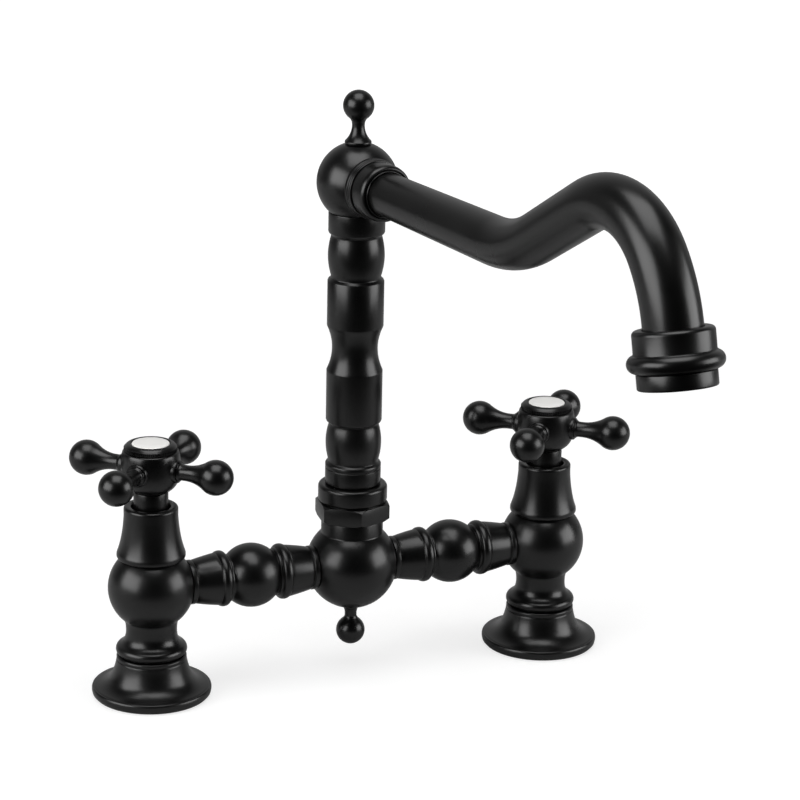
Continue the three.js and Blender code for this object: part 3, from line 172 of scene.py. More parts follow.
# Outlet, in heights above the end of the tube
OUTLET_BOTTOM = -15
OUTLET_NIPPLE = 12.9
OUTLET_NIPPLE_LENGTH = 2.4
AERATOR_LEDGE = -19.6

# Places and lengths that follow
LEG_FACE = ball_reach(LEG_BALL, ARM_END)
LEG_TOP = BRIDGE_HEIGHT + ball_reach(LEG_BALL, LEG_SHOULDER)
BONNET_TOP = LEG_TOP + SEAT + BONNET_HEIGHT
HUB_TOP = HANDLE_HEIGHT + HUB_ABOVE_SPOKES
INDEX_SEAT = HUB_TOP + SEAT
CENTRE_FACE = ball_reach(CENTRE_BALL, ARM_END)
CENTRE_BOTTOM = BRIDGE_HEIGHT - ball_reach(CENTRE_BALL, FINIAL_FLAT)
ARM_LENGTH = LEG_SPACING / 2 - LEG_FACE - CENTRE_FACE - 2 * SEAT
WASHER_BOTTOM = CENTRE_TOP + SEAT
HEAD_BOTTOM = HEAD_HEIGHT - ball_reach(HEAD_BALL, COLUMN)
HEAD_TOP = HEAD_HEIGHT + ball_reach(HEAD_BALL, FINIAL_FLAT)
HEAD_REAR = ball_reach(HEAD_BALL, REAR_FLAT)
COLUMN_TOP = HEAD_BOTTOM - SEAT

# Each side's name, the way its leg lies along X, and the way that its leg faces
SIDES = (("hot", -1, 0), ("cold", 1, 180))

# Facets round a piece: the large turned ones, and the slender ones
ROUND = 96
SLENDER = 56

# A circle's first corner points along +Y
CIRCLE_START = 90

# Radius that polishing and the coating leave on an edge
EASED = 0.3

# Camera: where it stands about the object, and its lens in pixels of an 800 wide frame
CAMERA_AZIMUTH = -22.297
CAMERA_ELEVATION = 17.337
CAMERA_ROLL = 1.187
CAMERA_DISTANCE = 1440.2
CAMERA_TARGET = (23.37, 0, 132.6)
CAMERA_FOCAL_PIXELS = 3042.9
FRAME_PIXELS = 800
SENSOR = 36

# Studio, in metres
SOFTBOX_DISTANCE = 2
SOFTBOX_AIM = 0.12
FLOOR_SIZE = 8
# The coating reflects a floor with painted light near the object and painted shade in front of it,
# a little to the right of the camera: a painted reflection that only the coating sees, never the
# camera. Each tone comes with the distance where it ends or starts
FLOOR_FRONT = 12
FLOOR_PAINTED_LIGHT, FLOOR_PAINTED_LIGHT_END = 0.5, 0.08
FLOOR_PAINTED_SHADE, FLOOR_PAINTED_SHADE_START = 0.02, 0.35
# The camera sees the floor in this paint, under a glow that grows with the distance
FLOOR_PAINT = 0.37
GLOW_NEAR, GLOW_NEAR_END = 0.72, 0.45
GLOW_FAR, GLOW_FAR_START = 0.95, 1.3
# The coating reflects a backdrop that is light behind the object. Where it turns dark and light
# is the cosine of the angle from straight behind
BACKDROP_LIGHT = 0.4
BACKDROP_DARK_END, BACKDROP_LIGHT_START = 0.2, 0.95


# ---------------------------------------------------------------------------------------------
# Making pieces
# ---------------------------------------------------------------------------------------------

def only(piece):
    """Selects one piece and nothing else."""
    bpy.ops.object.select_all(action="DESELECT")
    piece.select_set(True)
    bpy.context.view_layer.objects.active = piece


def turned(profile, bored=False, facets=ROUND):
    """A piece turned about Z. The profile's (radius, height) steps are drawn out one by one from a
    circle. A bored one comes back down its bore, and its last step is bridged to its first."""
    (radius, height), *rest = profile
    bpy.ops.object.select_all(action="DESELECT")
    bpy.ops.mesh.primitive_circle_add(
        vertices=facets, radius=radius * MM, location=(0, 0, height * MM),
        fill_type="NOTHING" if bored else "NGON")
    bpy.ops.object.mode_set(mode="EDIT")
    bpy.ops.mesh.select_all(action="SELECT")
    for next_radius, next_height in rest:
        rise = (0, 0, (next_height - height) * MM)
        bpy.ops.mesh.extrude_region_move(TRANSFORM_OT_translate={"value": rise})
        if next_radius == 0:
            bpy.ops.mesh.merge(type="COLLAPSE")
        elif next_radius != radius:
            scale = next_radius / radius
            bpy.ops.transform.resize(
                value=(scale, scale, 1), center_override=(0, 0, next_height * MM))
        radius, height = next_radius, next_height
    if bored:
        bpy.ops.mesh.select_all(action="DESELECT")
        bpy.ops.mesh.select_mode(type="EDGE")
        bpy.ops.mesh.select_non_manifold()
        bpy.ops.mesh.bridge_edge_loops()
        bpy.ops.mesh.select_mode(type="VERT")
    bpy.ops.mesh.select_all(action="SELECT")
    bpy.ops.mesh.normals_make_consistent(inside=False)
    bpy.ops.object.mode_set(mode="OBJECT")
    bpy.ops.object.transform_apply()
    return bpy.context.object


def modified(piece, kind, **settings):
    """Applies one modifier."""
    only(piece)
    bpy.ops.object.modifier_add(type=kind)
    modifier = piece.modifiers[-1]
    for setting, value in settings.items():
        setattr(modifier, setting, value)
    bpy.ops.object.modifier_apply(modifier=modifier.name)
    return piece


def eased(piece, width=EASED):
    """Rounds the edges, as polishing and coating do."""
    return modified(piece, "BEVEL", width=width * MM, segments=2, limit_method="ANGLE",
                    angle_limit=radians(32), use_clamp_overlap=True, harden_normals=False)


def ring(inner, outer, bottom, top, easing=EASED, facets=ROUND):
    """A plain ring with eased edges."""
    profile = [(outer, bottom), (outer, top), (inner, top), (inner, bottom)]
    return eased(turned(profile, bored=True, facets=facets), easing)


def joined(piece, other, operation):
    """Adds another solid to this one or cuts it away, and uses it up."""
    modified(piece, "BOOLEAN", object=other, operation=operation, solver="EXACT")
    bpy.data.objects.remove(other)
    return piece


def cut(piece, other):
    return joined(piece, other, "DIFFERENCE")


def added(piece, other):
    return joined(piece, other, "UNION")


def placed(piece, *moves):
    """Moves the mesh, the first move first, and leaves the object at the origin."""
    for move in moves:
        piece.matrix_world = move @ piece.matrix_world
    only(piece)
    bpy.ops.object.transform_apply()
    return piece


def copied(piece, *moves):
    copy = piece.copy()
    copy.data = piece.data.copy()
    bpy.context.collection.objects.link(copy)
    return placed(copy, *moves)


def at(x, y, z):
    return Matrix.Translation((x * MM, y * MM, z * MM))


def turn(angle, axis="Z"):
    return Matrix.Rotation(radians(angle), 4, axis)


ALONG_X = turn(90, "Y")
SPOUT = turn(SPOUT_SWING - 90)


def along_x(piece, height):
    return placed(piece, ALONG_X, at(0, 0, height))


def screw_hole(bottom, top):
    return turned([(FINIAL_SCREW + SEAT, bottom), (FINIAL_SCREW + SEAT, top)], facets=SLENDER)


def shown(piece, node, body):
    """Finishes a piece: it stands for a CAD node, moves with its body and takes its slot's finish."""
    only(piece)
    bpy.ops.object.shade_smooth_by_angle(angle=radians(38))
    piece.name = piece.data.name = f"{node}_finished"
    slot = slot_of[node]
    piece.data.materials.clear()
    piece.data.materials.append(FINISHES[slot])
    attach(piece, body)
    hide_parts(node)


# ---------------------------------------------------------------------------------------------
# Materials
# ---------------------------------------------------------------------------------------------

# A wave texture of scale 1 has this many bands to a metre
WAVES_PER_METRE = 3.2


def linear(colour):
    """An sRGB hex colour as the linear value that a shader takes."""
    def channel(value):
        value /= 255
        return value / 12.92 if value <= 0.04045 else ((value + 0.055) / 1.055) ** 2.4
    return tuple(channel(int(colour[i:i + 2], 16)) for i in (1, 3, 5)) + (1,)


def add_node(tree, kind, inputs=None, **settings):
    """Adds a node with its settings, and sets its inputs or links them to other nodes' outputs."""
    made = tree.nodes.new(kind)
    for setting, value in settings.items():
        setattr(made, setting, value)
    for socket, value in (inputs or {}).items():
        if isinstance(value, bpy.types.NodeSocket):
            tree.links.new(value, made.inputs[socket])
        else:
            made.inputs[socket].default_value = value
    return made


def new_material(name):
    """An empty material, and the place on the piece that its patterns read."""
    material = bpy.data.materials.new(name)
    material.use_nodes = True
    tree = material.node_tree
    tree.nodes.clear()
    return material, tree, add_node(tree, "ShaderNodeTexCoord").outputs["Object"]


def finished(tree, shader):
    add_node(tree, "ShaderNodeOutputMaterial", {"Surface": shader.outputs[0]})


def patches(tree, place, size, detail, dark, light, spread=(0, 1)):
    """Soft patches of a size in millimetres, and the colour that they drift between two."""
    noise = add_node(tree, "ShaderNodeTexNoise", {
        "Vector": place, "Scale": 1 / (size * MM), "Detail": detail}).outputs["Fac"]
    ramp = add_node(tree, "ShaderNodeValToRGB", {"Fac": noise})
    for stop, position, colour in zip(ramp.color_ramp.elements, spread, (dark, light)):
        stop.position = position
        stop.color = linear(colour)
    return noise, ramp.outputs["Color"]


def matt_black_coating():
    """Turned brass under an electrophoretic matt black lacquer: a closed dark skin whose fine
    orange peel spreads each highlight into a soft satin band."""
    material, tree, place = new_material("matt_black_coating")
    # The film's thickness drifts over centimetres
    drift, colour = patches(tree, place, 22.2, 2, "#050505", "#070707", spread=(0.35, 0.65))
    rough = add_node(tree, "ShaderNodeMapRange", {
        "Value": drift, "From Min": 0.3, "From Max": 0.7, "To Min": 0.27, "To Max": 0.32})
    # Orange peel is about 0.6 mm from crest to crest
    peel = add_node(tree, "ShaderNodeTexNoise", {
        "Vector": place, "Scale": 1 / (0.59 * MM), "Detail": 3, "Roughness": 0.55})
    bump = add_node(tree, "ShaderNodeBump", {
        "Height": peel.outputs["Fac"], "Strength": 0.25, "Distance": 0.02 * MM})
    finished(tree, add_node(tree, "ShaderNodeBsdfPrincipled", {
        "Base Color": colour, "Roughness": rough.outputs["Result"], "IOR": 1.5,
        "Normal": bump.outputs["Normal"]}))
    return material


def glazed_ceramic():
    """White glazed porcelain: clean, hard and glossy, faintly uneven under the glaze."""
    material, tree, place = new_material("glazed_ceramic")
    _, colour = patches(tree, place, 3.85, 3, "#f4f3ef", "#fbfaf8")
    flow = add_node(tree, "ShaderNodeTexNoise", {
        "Vector": place, "Scale": 1 / (8.33 * MM), "Detail": 1})
    bump = add_node(tree, "ShaderNodeBump", {
        "Height": flow.outputs["Fac"], "Strength": 0.2, "Distance": 0.06 * MM})
    finished(tree, add_node(tree, "ShaderNodeBsdfPrincipled", {
        "Base Color": colour, "Roughness": 0.22, "IOR": 1.52, "Coat Weight": 0.5,
        "Coat Roughness": 0.06, "Normal": bump.outputs["Normal"]}))
    return material


def machined_metal(name, dark, light, roughness, feed):
    """Bare metal as the lathe left it: fine rings at the tool's feed, a little uneven in tone."""
    material, tree, place = new_material(name)
    _, colour = patches(tree, place, 6.25, 4, dark, light)
    rings = add_node(tree, "ShaderNodeTexWave", {
        "Vector": place, "Scale": 1 / (feed * MM) / WAVES_PER_METRE, "Distortion": 0.6,
        "Detail": 1}, bands_direction="Z")
    bump = add_node(tree, "ShaderNodeBump", {
        "Height": rings.outputs["Fac"], "Strength": 0.3, "Distance": 0.02 * MM})
    finished(tree, add_node(tree, "ShaderNodeBsdfPrincipled", {
        "Base Color": colour, "Metallic": 1, "Roughness": roughness,
        "Normal": bump.outputs["Normal"]}))
    return material


def moulded_rubber():
    """Black EPDM: deep matt with a fine moulded grain and a faint bloom."""
    material, tree, place = new_material("moulded_rubber")
    _, colour = patches(tree, place, 11.1, 3, "#1b1b1b", "#272727")
    grain = add_node(tree, "ShaderNodeTexNoise", {
        "Vector": place, "Scale": 1 / (0.4 * MM), "Detail": 2})
    bump = add_node(tree, "ShaderNodeBump", {
        "Height": grain.outputs["Fac"], "Strength": 0.4, "Distance": 0.03 * MM})
    finished(tree, add_node(tree, "ShaderNodeBsdfPrincipled", {
        "Base Color": colour, "Roughness": 0.75, "IOR": 1.52, "Normal": bump.outputs["Normal"]}))
    return material


def moulded_acetal():
    """Light grey acetal, injection moulded: waxy, nearly matt, with a slight lime bloom."""
    material, tree, place = new_material("moulded_acetal")
    _, colour = patches(tree, place, 4.55, 3, "#a8a39b", "#bcb8b1")
    grain = add_node(tree, "ShaderNodeTexNoise", {
        "Vector": place, "Scale": 1 / (0.333 * MM), "Detail": 2})
    bump = add_node(tree, "ShaderNodeBump", {
        "Height": grain.outputs["Fac"], "Strength": 0.25, "Distance": 0.02 * MM})
    finished(tree, add_node(tree, "ShaderNodeBsdfPrincipled", {
        "Base Color": colour, "Roughness": 0.42, "IOR": 1.48, "Normal": bump.outputs["Normal"]}))
    return material


FINISHES = {
    "matt_black": matt_black_coating(),
    "white_ceramic": glazed_ceramic(),
    "bare_brass": machined_metal("machined_brass", "#b48a4b", "#c79c5a", 0.32, feed=0.5),
    "stainless": machined_metal("turned_stainless_steel", "#b2b4b6", "#c6c8ca", 0.28, feed=0.4),
    "black_rubber": moulded_rubber(),
    "grey_polymer": moulded_acetal(),
}


# ---------------------------------------------------------------------------------------------
# Legs, modelled at the middle of the bridge and copied to their places
# ---------------------------------------------------------------------------------------------

def base_flange():
    """A thin rounded lip, a fine crease behind it, and a trumpet that rises to the valve."""
    top, roof = FLANGE_HEIGHT, FLANGE_HEIGHT - FLANGE_WALL
    hole, gasket, gasket_roof = LEG_SPIGOT + SEAT, GASKET + SEAT, GASKET_THICKNESS + SEAT
    return eased(turned([
        (25.4, 0), (26.9, 0.5), (27.8, 1.5), (28.1, 2.9), (28.1, 3.9), (27.9, 4.6), (27.5, 5.05),
        (27.1, 4.95), (26.9, 5.05),
        *sweep((26.7, 5.15), (20.6, 5.9), (18.6, 10.8), 14),
        *sweep((18.6, 10.8), (17.1, 14.2), (16.5, 18.1), 9)[1:],
        (16.25, 18.3), (16.45, 18.55), (16.45, 19.8), (16.0, top), (hole, top), (hole, roof),
        (13.65, roof), (17.6, 8), (17.6, gasket_roof), (gasket, gasket_roof), (gasket, 0),
    ], bored=True))


def base_gasket():
    return ring(GASKET - GASKET_WIDTH, GASKET, 0, GASKET_THICKNESS)


def arm_port(face):
    """What is cut from a ball where an arm meets it: a flat, a socket and a waterway toward +X."""
    bottom, socket = face - ARM_SOCKET_DEPTH, ARM_SPIGOT + SEAT
    return along_x(turned([
        (ARM_WATERWAY, 7.5), (ARM_WATERWAY, bottom), (socket, bottom), (socket, face),
        (13.5, face), (13.5, face + 10),
    ], facets=SLENDER), BRIDGE_HEIGHT)


def valve_body():
    """Spigot, foot collar, neck and ball in one, bored for the inlet and the cartridge."""
    foot, bore, seat = FLANGE_HEIGHT + SEAT, CARTRIDGE + SEAT, CARTRIDGE_SEAT
    neck_top = BRIDGE_HEIGHT - ball_reach(LEG_BALL, LEG_NECK)
    thread_top = LEG_TOP + LEG_THREAD_LENGTH
    body = eased(turned([
        (LEG_INLET, 1.5), (LEG_SPIGOT, 1.5), (LEG_SPIGOT, foot), (14.9, foot),
        *arc(14, foot + 2.5, 2.7, -64, 62, 9),
        *sweep((15.27, 25.58), (12.0, 27.1), (11.95, 32), 10)[1:],
        *sweep((11.95, 32), (11.9, 36.3), (LEG_NECK, neck_top), 6)[1:],
        *arc(0, BRIDGE_HEIGHT, LEG_BALL, -ball_angle(LEG_BALL, LEG_NECK),
             ball_angle(LEG_BALL, LEG_SHOULDER), 4)[1:],
        (LEG_THREAD, LEG_TOP), (LEG_THREAD, thread_top), (bore, thread_top),
        (bore, 58), (10.4, 58), (10.4, 49.5), (bore, 49.5), (bore, seat), (LEG_INLET, seat),
    ], bored=True))
    return cut(body, arm_port(LEG_FACE))


def bonnet():
    """A bell whose lip rests on the ball's shoulder."""
    low, high, bore = LEG_TOP + SEAT, BONNET_TOP, LEG_THREAD + SEAT
    return eased(turned([
        (bore, low), (15.3, low), (15.95, low + 0.5), (16.1, low + 1.2), (16.05, low + 2.3),
        (15.8, low + 3.1),
        *sweep((15.75, low + 3.2), (13.3, low + 10), (12.65, high - 4.73), 12),
        (12.68, high - 1.63), *arc(11.25, high - 1.43, 1.43, 8, 90, 14),
        *arc(10.0, high - 0.8, 0.8, 90, 180, 30),
        (9.2, low + 9.3), (11.7, low + 9.3), (11.7, low + LEG_THREAD_LENGTH),
        (bore, low + LEG_THREAD_LENGTH),
    ], bored=True))


def seat_seal():
    bottom = CARTRIDGE_SEAT + SEAT
    return ring(LEG_INLET, CARTRIDGE - SEAT, bottom, bottom + 1.5, 0.2, SLENDER)


def legs():
    for make in (base_flange, base_gasket, valve_body, bonnet, seat_seal):
        piece = make()
        for side, way, facing in SIDES:
            copy = copied(piece, turn(facing), at(way * LEG_SPACING / 2, 0, 0))
            shown(copy, f"{side}_{make.__name__}", "base")
        bpy.data.objects.remove(piece)


# ---------------------------------------------------------------------------------------------
# Cross handles, modelled on the axis and copied to their places
# ---------------------------------------------------------------------------------------------

def hub():
    """A bowl with four round bosses, each bored for a spoke's tenon."""
    low, high = SLEEVE_TOP + SEAT, HUB_TOP
    counterbore, web, barrel = high - 3.8, high - 5.1, (13.8, low + 9.5)
    bowl = eased(turned([
        (3.7, low), (8.2, low), *sweep((8.6, low + 0.2), (13.3, low + 2.4), barrel, 14),
        *sweep(barrel, (14.0, high - 3), (13.0, high - 0.4), 8)[1:],
        (12.6, high), (7, high), (7, counterbore), (1.8, counterbore), (1.8, web), (3.7, web),
    ], bored=True))
    for k in range(4):
        boss = turned([(5.6, 8.2), (5.4, 14.1), (5.25, 14.5), (4.9, BOSS_FACE)], facets=SLENDER)
        added(bowl, placed(boss, ALONG_X, at(0, 0, HANDLE_HEIGHT), turn(90 * k)))
    for k in range(4):
        hole = turned([(SPOKE_TENON + SEAT, 8.5), (SPOKE_TENON + SEAT, 16)], facets=SLENDER)
        cut(bowl, placed(hole, ALONG_X, at(0, 0, HANDLE_HEIGHT), turn(90 * k)))
    return bowl


def spoke():
    """A tenon, a slender waist and a ball in one turning."""
    ball, reach, flare, foot = 8.25, 33.4, 6.6, BOSS_FACE + SEAT
    flare_end = reach - ball_reach(ball, flare)
    piece = turned([
        (SPOKE_TENON, 9.1), (SPOKE_TENON, foot), (4.6, foot),
        *sweep((4.6, 15.35), (3.75, 15.5), (3.7, 17), 5)[1:],
        *sweep((3.7, 19), (3.85, 24), (flare, flare_end), 12),
        *arc(0, reach, ball, -ball_angle(ball, flare), 84, 6)[1:], (0, reach + ball),
    ], facets=SLENDER)
    return along_x(eased(piece, 0.15), HANDLE_HEIGHT)


def index_ring():
    """The cap that holds the disc: a finely knurled band under a rounded shoulder."""
    low, inner, band = INDEX_SEAT, INDEX_DISC + SEAT, 12.4
    teeth, valley = 84, 0.965
    piece = turned([
        (inner, low), (12.1, low), (band, low + 0.2), (band, low + 1.5), (12.15, low + 1.7),
        *sweep((12.0, low + 1.85), (11.1, low + 3.1), (9.5, low + 3.3), 8), (9.15, low + 3.1),
    ], bored=True, facets=2 * teeth)
    bpy.ops.object.mode_set(mode="EDIT")
    bpy.ops.mesh.select_all(action="DESELECT")
    bpy.ops.object.mode_set(mode="OBJECT")
    for vertex in piece.data.vertices:
        x, y, _ = vertex.co / MM
        corner = round(degrees(atan2(y, x)) * teeth / 180)
        vertex.select = abs(hypot(x, y) - band) < 0.02 and corner % 2 == 0
    bpy.ops.object.mode_set(mode="EDIT")
    bpy.ops.transform.resize(value=(valley, valley, 1), center_override=(0, 0, low * MM))
    bpy.ops.object.mode_set(mode="OBJECT")
    return piece


def index_disc():
    """A plain white disc, faintly crowned, with a glazed round edge."""
    low, edge = INDEX_SEAT, INDEX_DISC
    return eased(turned([
        (edge - 0.2, low), (edge, low + 0.2), (edge, low + 2.7),
        *sweep((edge, low + 2.7), (8.75, low + 3.3), (8.0, low + 3.4), 4)[1:],
        (4.5, low + 3.47), (1.2, low + 3.5),
    ]), 0.1)


def spindle_sleeve():
    return ring(3.8, 8.1, BONNET_TOP - SLEEVE_IN_BONNET, SLEEVE_TOP)


def handles():
    cross = [(make.__name__, make()) for make in (hub, index_ring, index_disc)]
    arm, sleeve = spoke(), spindle_sleeve()
    for side, way, _ in SIDES:
        body, angle, place = f"{side}_handle", HANDLE_TURNS[side], at(way * LEG_SPACING / 2, 0, 0)
        for part, piece in cross:
            shown(copied(piece, turn(angle), place), f"{side}_{part}", body)
        for k in range(4):
            shown(copied(arm, turn(90 * k + angle), place), f"{side}_spoke_{k + 1}", body)
        shown(copied(sleeve, place), f"{side}_spindle_sleeve", body)
    for piece in [piece for _, piece in cross] + [arm, sleeve]:
        bpy.data.objects.remove(piece)


# ---------------------------------------------------------------------------------------------
# Bridge and centre
# ---------------------------------------------------------------------------------------------

def bridge_arm():
    """Alike on both sides of its ball: a groove, a thin ring, a bead, a crease, a long cone and an
    end ring, with a spigot beyond."""
    half = ARM_LENGTH / 2
    end = half + ARM_SPIGOT_LENGTH
    groove = ball_reach(ARM_BALL, ARM_END)
    side = [
        *arc(0, 0, ARM_BALL, 0, ball_angle(ARM_BALL, ARM_END), 4),
        (10.4, groove + 0.4), (11.35, groove + 0.7), (11.5, groove + 1.3), (11.4, groove + 1.6),
        *sweep((11.5, groove + 1.7), (13.2, groove + 1.9), (13.25, groove + 4), 5),
        *sweep((13.25, groove + 4), (13.2, groove + 5.6), (12.35, groove + 6.1), 5)[1:],
        (12.2, groove + 6.3), (12.35, groove + 6.5),
        *sweep((12.35, groove + 6.6), (11.7, half - 9), (10.3, half - 2.9), 8),
        (10.05, half - 2.6), (10.1, half - 2.4), (ARM_END, half - 2.2), (ARM_END, half - 0.2),
        (10.3, half), (ARM_SPIGOT, half), (ARM_SPIGOT, end),
    ]
    mirrored = [(radius, -x) for radius, x in side[:0:-1]]
    profile = [*mirrored, *side, (ARM_WATERWAY, end), (ARM_WATERWAY, -end)]
    return along_x(eased(turned(profile, bored=True), 0.2), BRIDGE_HEIGHT)


def arm_seal():
    return along_x(ring(ARM_WATERWAY, ARM_SPIGOT, 0, ARM_SEAL_THICKNESS, 0.15, SLENDER),
                   BRIDGE_HEIGHT)


def centre_body():
    """A ball with a neck and a thread above, bored for the column and drilled for both arms."""
    low, shoulder = CENTRE_BOTTOM, NUT_BOTTOM - SEAT
    thread, bore = CENTRE_THREAD, COLUMN_SPIGOT + SEAT
    body = eased(turned([
        (FINIAL_FLAT, low),
        *arc(0, BRIDGE_HEIGHT, CENTRE_BALL, -ball_angle(CENTRE_BALL, FINIAL_FLAT),
             ball_angle(CENTRE_BALL, CENTRE_NECK), 4)[1:],
        (14.75, BRIDGE_HEIGHT + ball_reach(CENTRE_BALL, CENTRE_NECK) + 0.3),
        (14.7, shoulder - 0.5), (14.5, shoulder), (thread, shoulder), (thread, CENTRE_TOP),
        (bore, CENTRE_TOP), (bore, 63), (8.5, 63), (8.5, 46),
    ]))
    for side in (0, 180):
        cut(body, placed(arm_port(CENTRE_FACE), turn(side)))
    return cut(body, screw_hole(low - 1, low + FINIAL_SCREW_LENGTH + SEAT))


def spout_nut():
    """A hexagon with its corners chamfered, and a round collar with a rolled top."""
    low, hex_top, high, corner = NUT_BOTTOM, 85.2, NUT_TOP, 18.4
    nut = turned([(corner, low), (corner, hex_top)], facets=6)
    placed(nut, turn(NUT_TURN - CIRCLE_START))
    chamfer = turned([
        (16.5, low - 0.2), (18.45, low + 1.1), (18.45, hex_top - 1.1), (16.5, hex_top + 0.2)])
    eased(joined(nut, chamfer, "INTERSECT"), 0.2)
    collar = eased(turned([
        (15.0, hex_top - 1), (15.0, hex_top + 0.5), (15.9, hex_top + 0.8), (16.4, hex_top + 1.5),
        *arc(14.6, high - 1.8, 1.8, 0, 90, 12), (13.4, high)]), 0.15)
    added(nut, collar)
    cut(nut, turned([(CENTRE_THREAD + SEAT, low - 1), (CENTRE_THREAD + SEAT, 90.5)]))
    return cut(nut, turned([(12.2, 89.5), (12.2, 93.8), (12.6, 94.3), (12.6, 95)]))


def finial(length, ball, neck, waist, foot):
    """A ball on a waisted neck over a spread foot, with a screw below. Waist is where it is
    slimmest, as two heights."""
    centre = length - ball
    meets = 4.1
    ball_low = centre - ball_reach(ball, meets)
    return eased(turned([
        (FINIAL_SCREW, -FINIAL_SCREW_LENGTH), (FINIAL_SCREW, 0), (foot - 0.3, 0), (foot, 0.3),
        (foot, 0.9),
        *sweep((foot - 0.05, 1.2), (neck + 0.3, waist[0] * 0.5), (neck, waist[0]), 10),
        *sweep((neck, waist[1]), (neck + 0.05, ball_low - 1.2), (meets, ball_low), 5),
        *arc(0, centre, ball, -ball_angle(ball, meets), 84, 6)[1:], (0, length),
    ], facets=SLENDER), 0.12)


def thrust_washer():
    return ring(COLUMN_SPIGOT + 0.4, CENTRE_THREAD, WASHER_BOTTOM, WASHER_BOTTOM + WASHER_THICKNESS,
                0.1)


def bridge():
    arm, seal = bridge_arm(), arm_seal()
    middle = CENTRE_FACE + SEAT + ARM_LENGTH / 2
    for side, way, facing in SIDES:
        shown(copied(arm, at(way * middle, 0, 0)), f"{side}_bridge_arm", "base")
        for end, face, x, angle in (("leg", LEG_FACE, way * LEG_SPACING / 2, facing),
                                    ("centre", CENTRE_FACE, 0, 180 - facing)):
            in_socket = at(face - ARM_SOCKET_DEPTH + SEAT, 0, 0)
            shown(copied(seal, in_socket, turn(angle), at(x, 0, 0)), f"{side}_arm_{end}_seal", "base")
    bpy.data.objects.remove(arm)
    bpy.data.objects.remove(seal)
    shown(centre_body(), "centre_body", "base")
    lower = finial(length=19.9, ball=6.9, neck=2.85, waist=(3.9, 5.4), foot=3.8)
    placed(lower, turn(180, "X"), at(0, 0, CENTRE_BOTTOM - SEAT))
    shown(lower, "bottom_finial", "base")
    shown(spout_nut(), "spout_nut", "base")
    shown(thrust_washer(), "thrust_washer", "base")


# ---------------------------------------------------------------------------------------------
# Spout, modelled with +X over the basin and swung to its rest
# ---------------------------------------------------------------------------------------------

def column():
    """Spigot and journal below, then collar, barrel, waisted middle, barrel and collar."""
    top, tenon_top, wide = COLUMN_TOP, COLUMN_TOP + COLUMN_TENON_LENGTH, COLUMN
    spigot, journal = COLUMN_SPIGOT, 11.9
    shoulder = WASHER_BOTTOM + WASHER_THICKNESS + SEAT
    return eased(turned([
        (COLUMN_BORE, 66.8), (spigot, 66.8), (spigot, 72.9), (8.3, 72.9), (8.3, 75.1),
        (spigot, 75.1), (spigot, shoulder), (journal, shoulder), (journal, 88.4), (10.7, 88.4),
        (10.7, 90.5), (journal, 90.5), (journal, 94.6),
        # collar with a thin ring at its top
        (12.9, 94.6), (wide, 94.9), (wide, 101.9), (12.85, 102.2), (wide, 102.5), (wide, 104.1),
        (12.9, 104.6), (11.95, 105.2),
        # lower barrel
        *sweep((11.9, 106.0), (14.45, 115), (11.85, 123.4), 14), (11.75, 124.4), (12.9, 125.2),
        # plain, waist, plain
        (wide, 126.0), (wide, 149.6), *sweep((wide, 150), (8.25, 160.8), (wide, 171.6), 18),
        (13.25, 172), (13.25, 193.2), (12.9, 193.9), (11.8, 194.8),
        # upper barrel
        *sweep((11.75, 195.9), (14.6, 205), (11.9, 214.6), 14), (11.85, 215.3), (12.9, 216.3),
        # collar under the head
        (wide, 217.0), (wide, top - 0.2), (13.0, top), (COLUMN_TENON, top),
        (COLUMN_TENON, tenon_top), (COLUMN_BORE, tenon_top),
    ], bored=True), 0.2)


def spout_head():
    """A ball with a grooved boss for the spout, drilled for the column, the spout and both caps."""
    head = turned([(COLUMN, HEAD_BOTTOM), *arc(
        0, HEAD_HEIGHT, HEAD_BALL, -ball_angle(HEAD_BALL, COLUMN),
        ball_angle(HEAD_BALL, FINIAL_FLAT), 4)[1:]])
    wide, groove, boss_face = HEAD_BOSS, HEAD_BOSS - 0.3, UNION_START - SEAT
    boss = eased(turned([
        (wide - 0.1, ball_reach(HEAD_BALL, wide) - 1), (wide, 14.6), (groove, 14.85), (wide, 15.1),
        (wide, 16.2), (groove, 16.45), (wide, 16.7), (wide - 0.1, 17.6), (13.6, boss_face),
        (UNION_THREAD, boss_face), (UNION_THREAD, 23.1)]), 0.12)
    added(head, along_x(boss, HEAD_HEIGHT))
    cap, tube = CAP_SPIGOT + SEAT, TUBE_RADIUS + SEAT
    rear_bore = turned([(cap, -0.5), (cap, -HEAD_REAR), (12.6, -HEAD_REAR), (12.6, -20)])
    tube_bore = turned([
        (tube - TUBE_WALL - SEAT, 0), (tube - TUBE_WALL - SEAT, TUBE_START - SEAT),
        (tube, TUBE_START - SEAT), (tube, 24.1)])
    for bore in (rear_bore, tube_bore):
        cut(head, along_x(bore, HEAD_HEIGHT))
    tenon, socket_top = COLUMN_TENON + SEAT, COLUMN_TOP + COLUMN_TENON_LENGTH + SEAT
    cut(head, turned([
        (COLUMN + SEAT, HEAD_BOTTOM - 2), (COLUMN + SEAT, HEAD_BOTTOM), (tenon, HEAD_BOTTOM),
        (tenon, socket_top), (COLUMN_BORE, socket_top), (COLUMN_BORE, 248)]))
    return cut(head, screw_hole(HEAD_TOP - FINIAL_SCREW_LENGTH - SEAT, HEAD_TOP + 1))


def rear_cap():
    """A shallow dome that closes the head behind the spout."""
    face, reach = HEAD_REAR + SEAT, 22
    cap = eased(turned([
        (CAP_SPIGOT, face - 5.6), (CAP_SPIGOT, face), (9.3, face), (REAR_FLAT, face + 0.3),
        *arc(7.6, reach - 2, 2, 0, 80, 16), (4, reach - 0.02), (0.8, reach)]), 0.12)
    return placed(cap, ALONG_X, turn(180), at(0, 0, HEAD_HEIGHT))


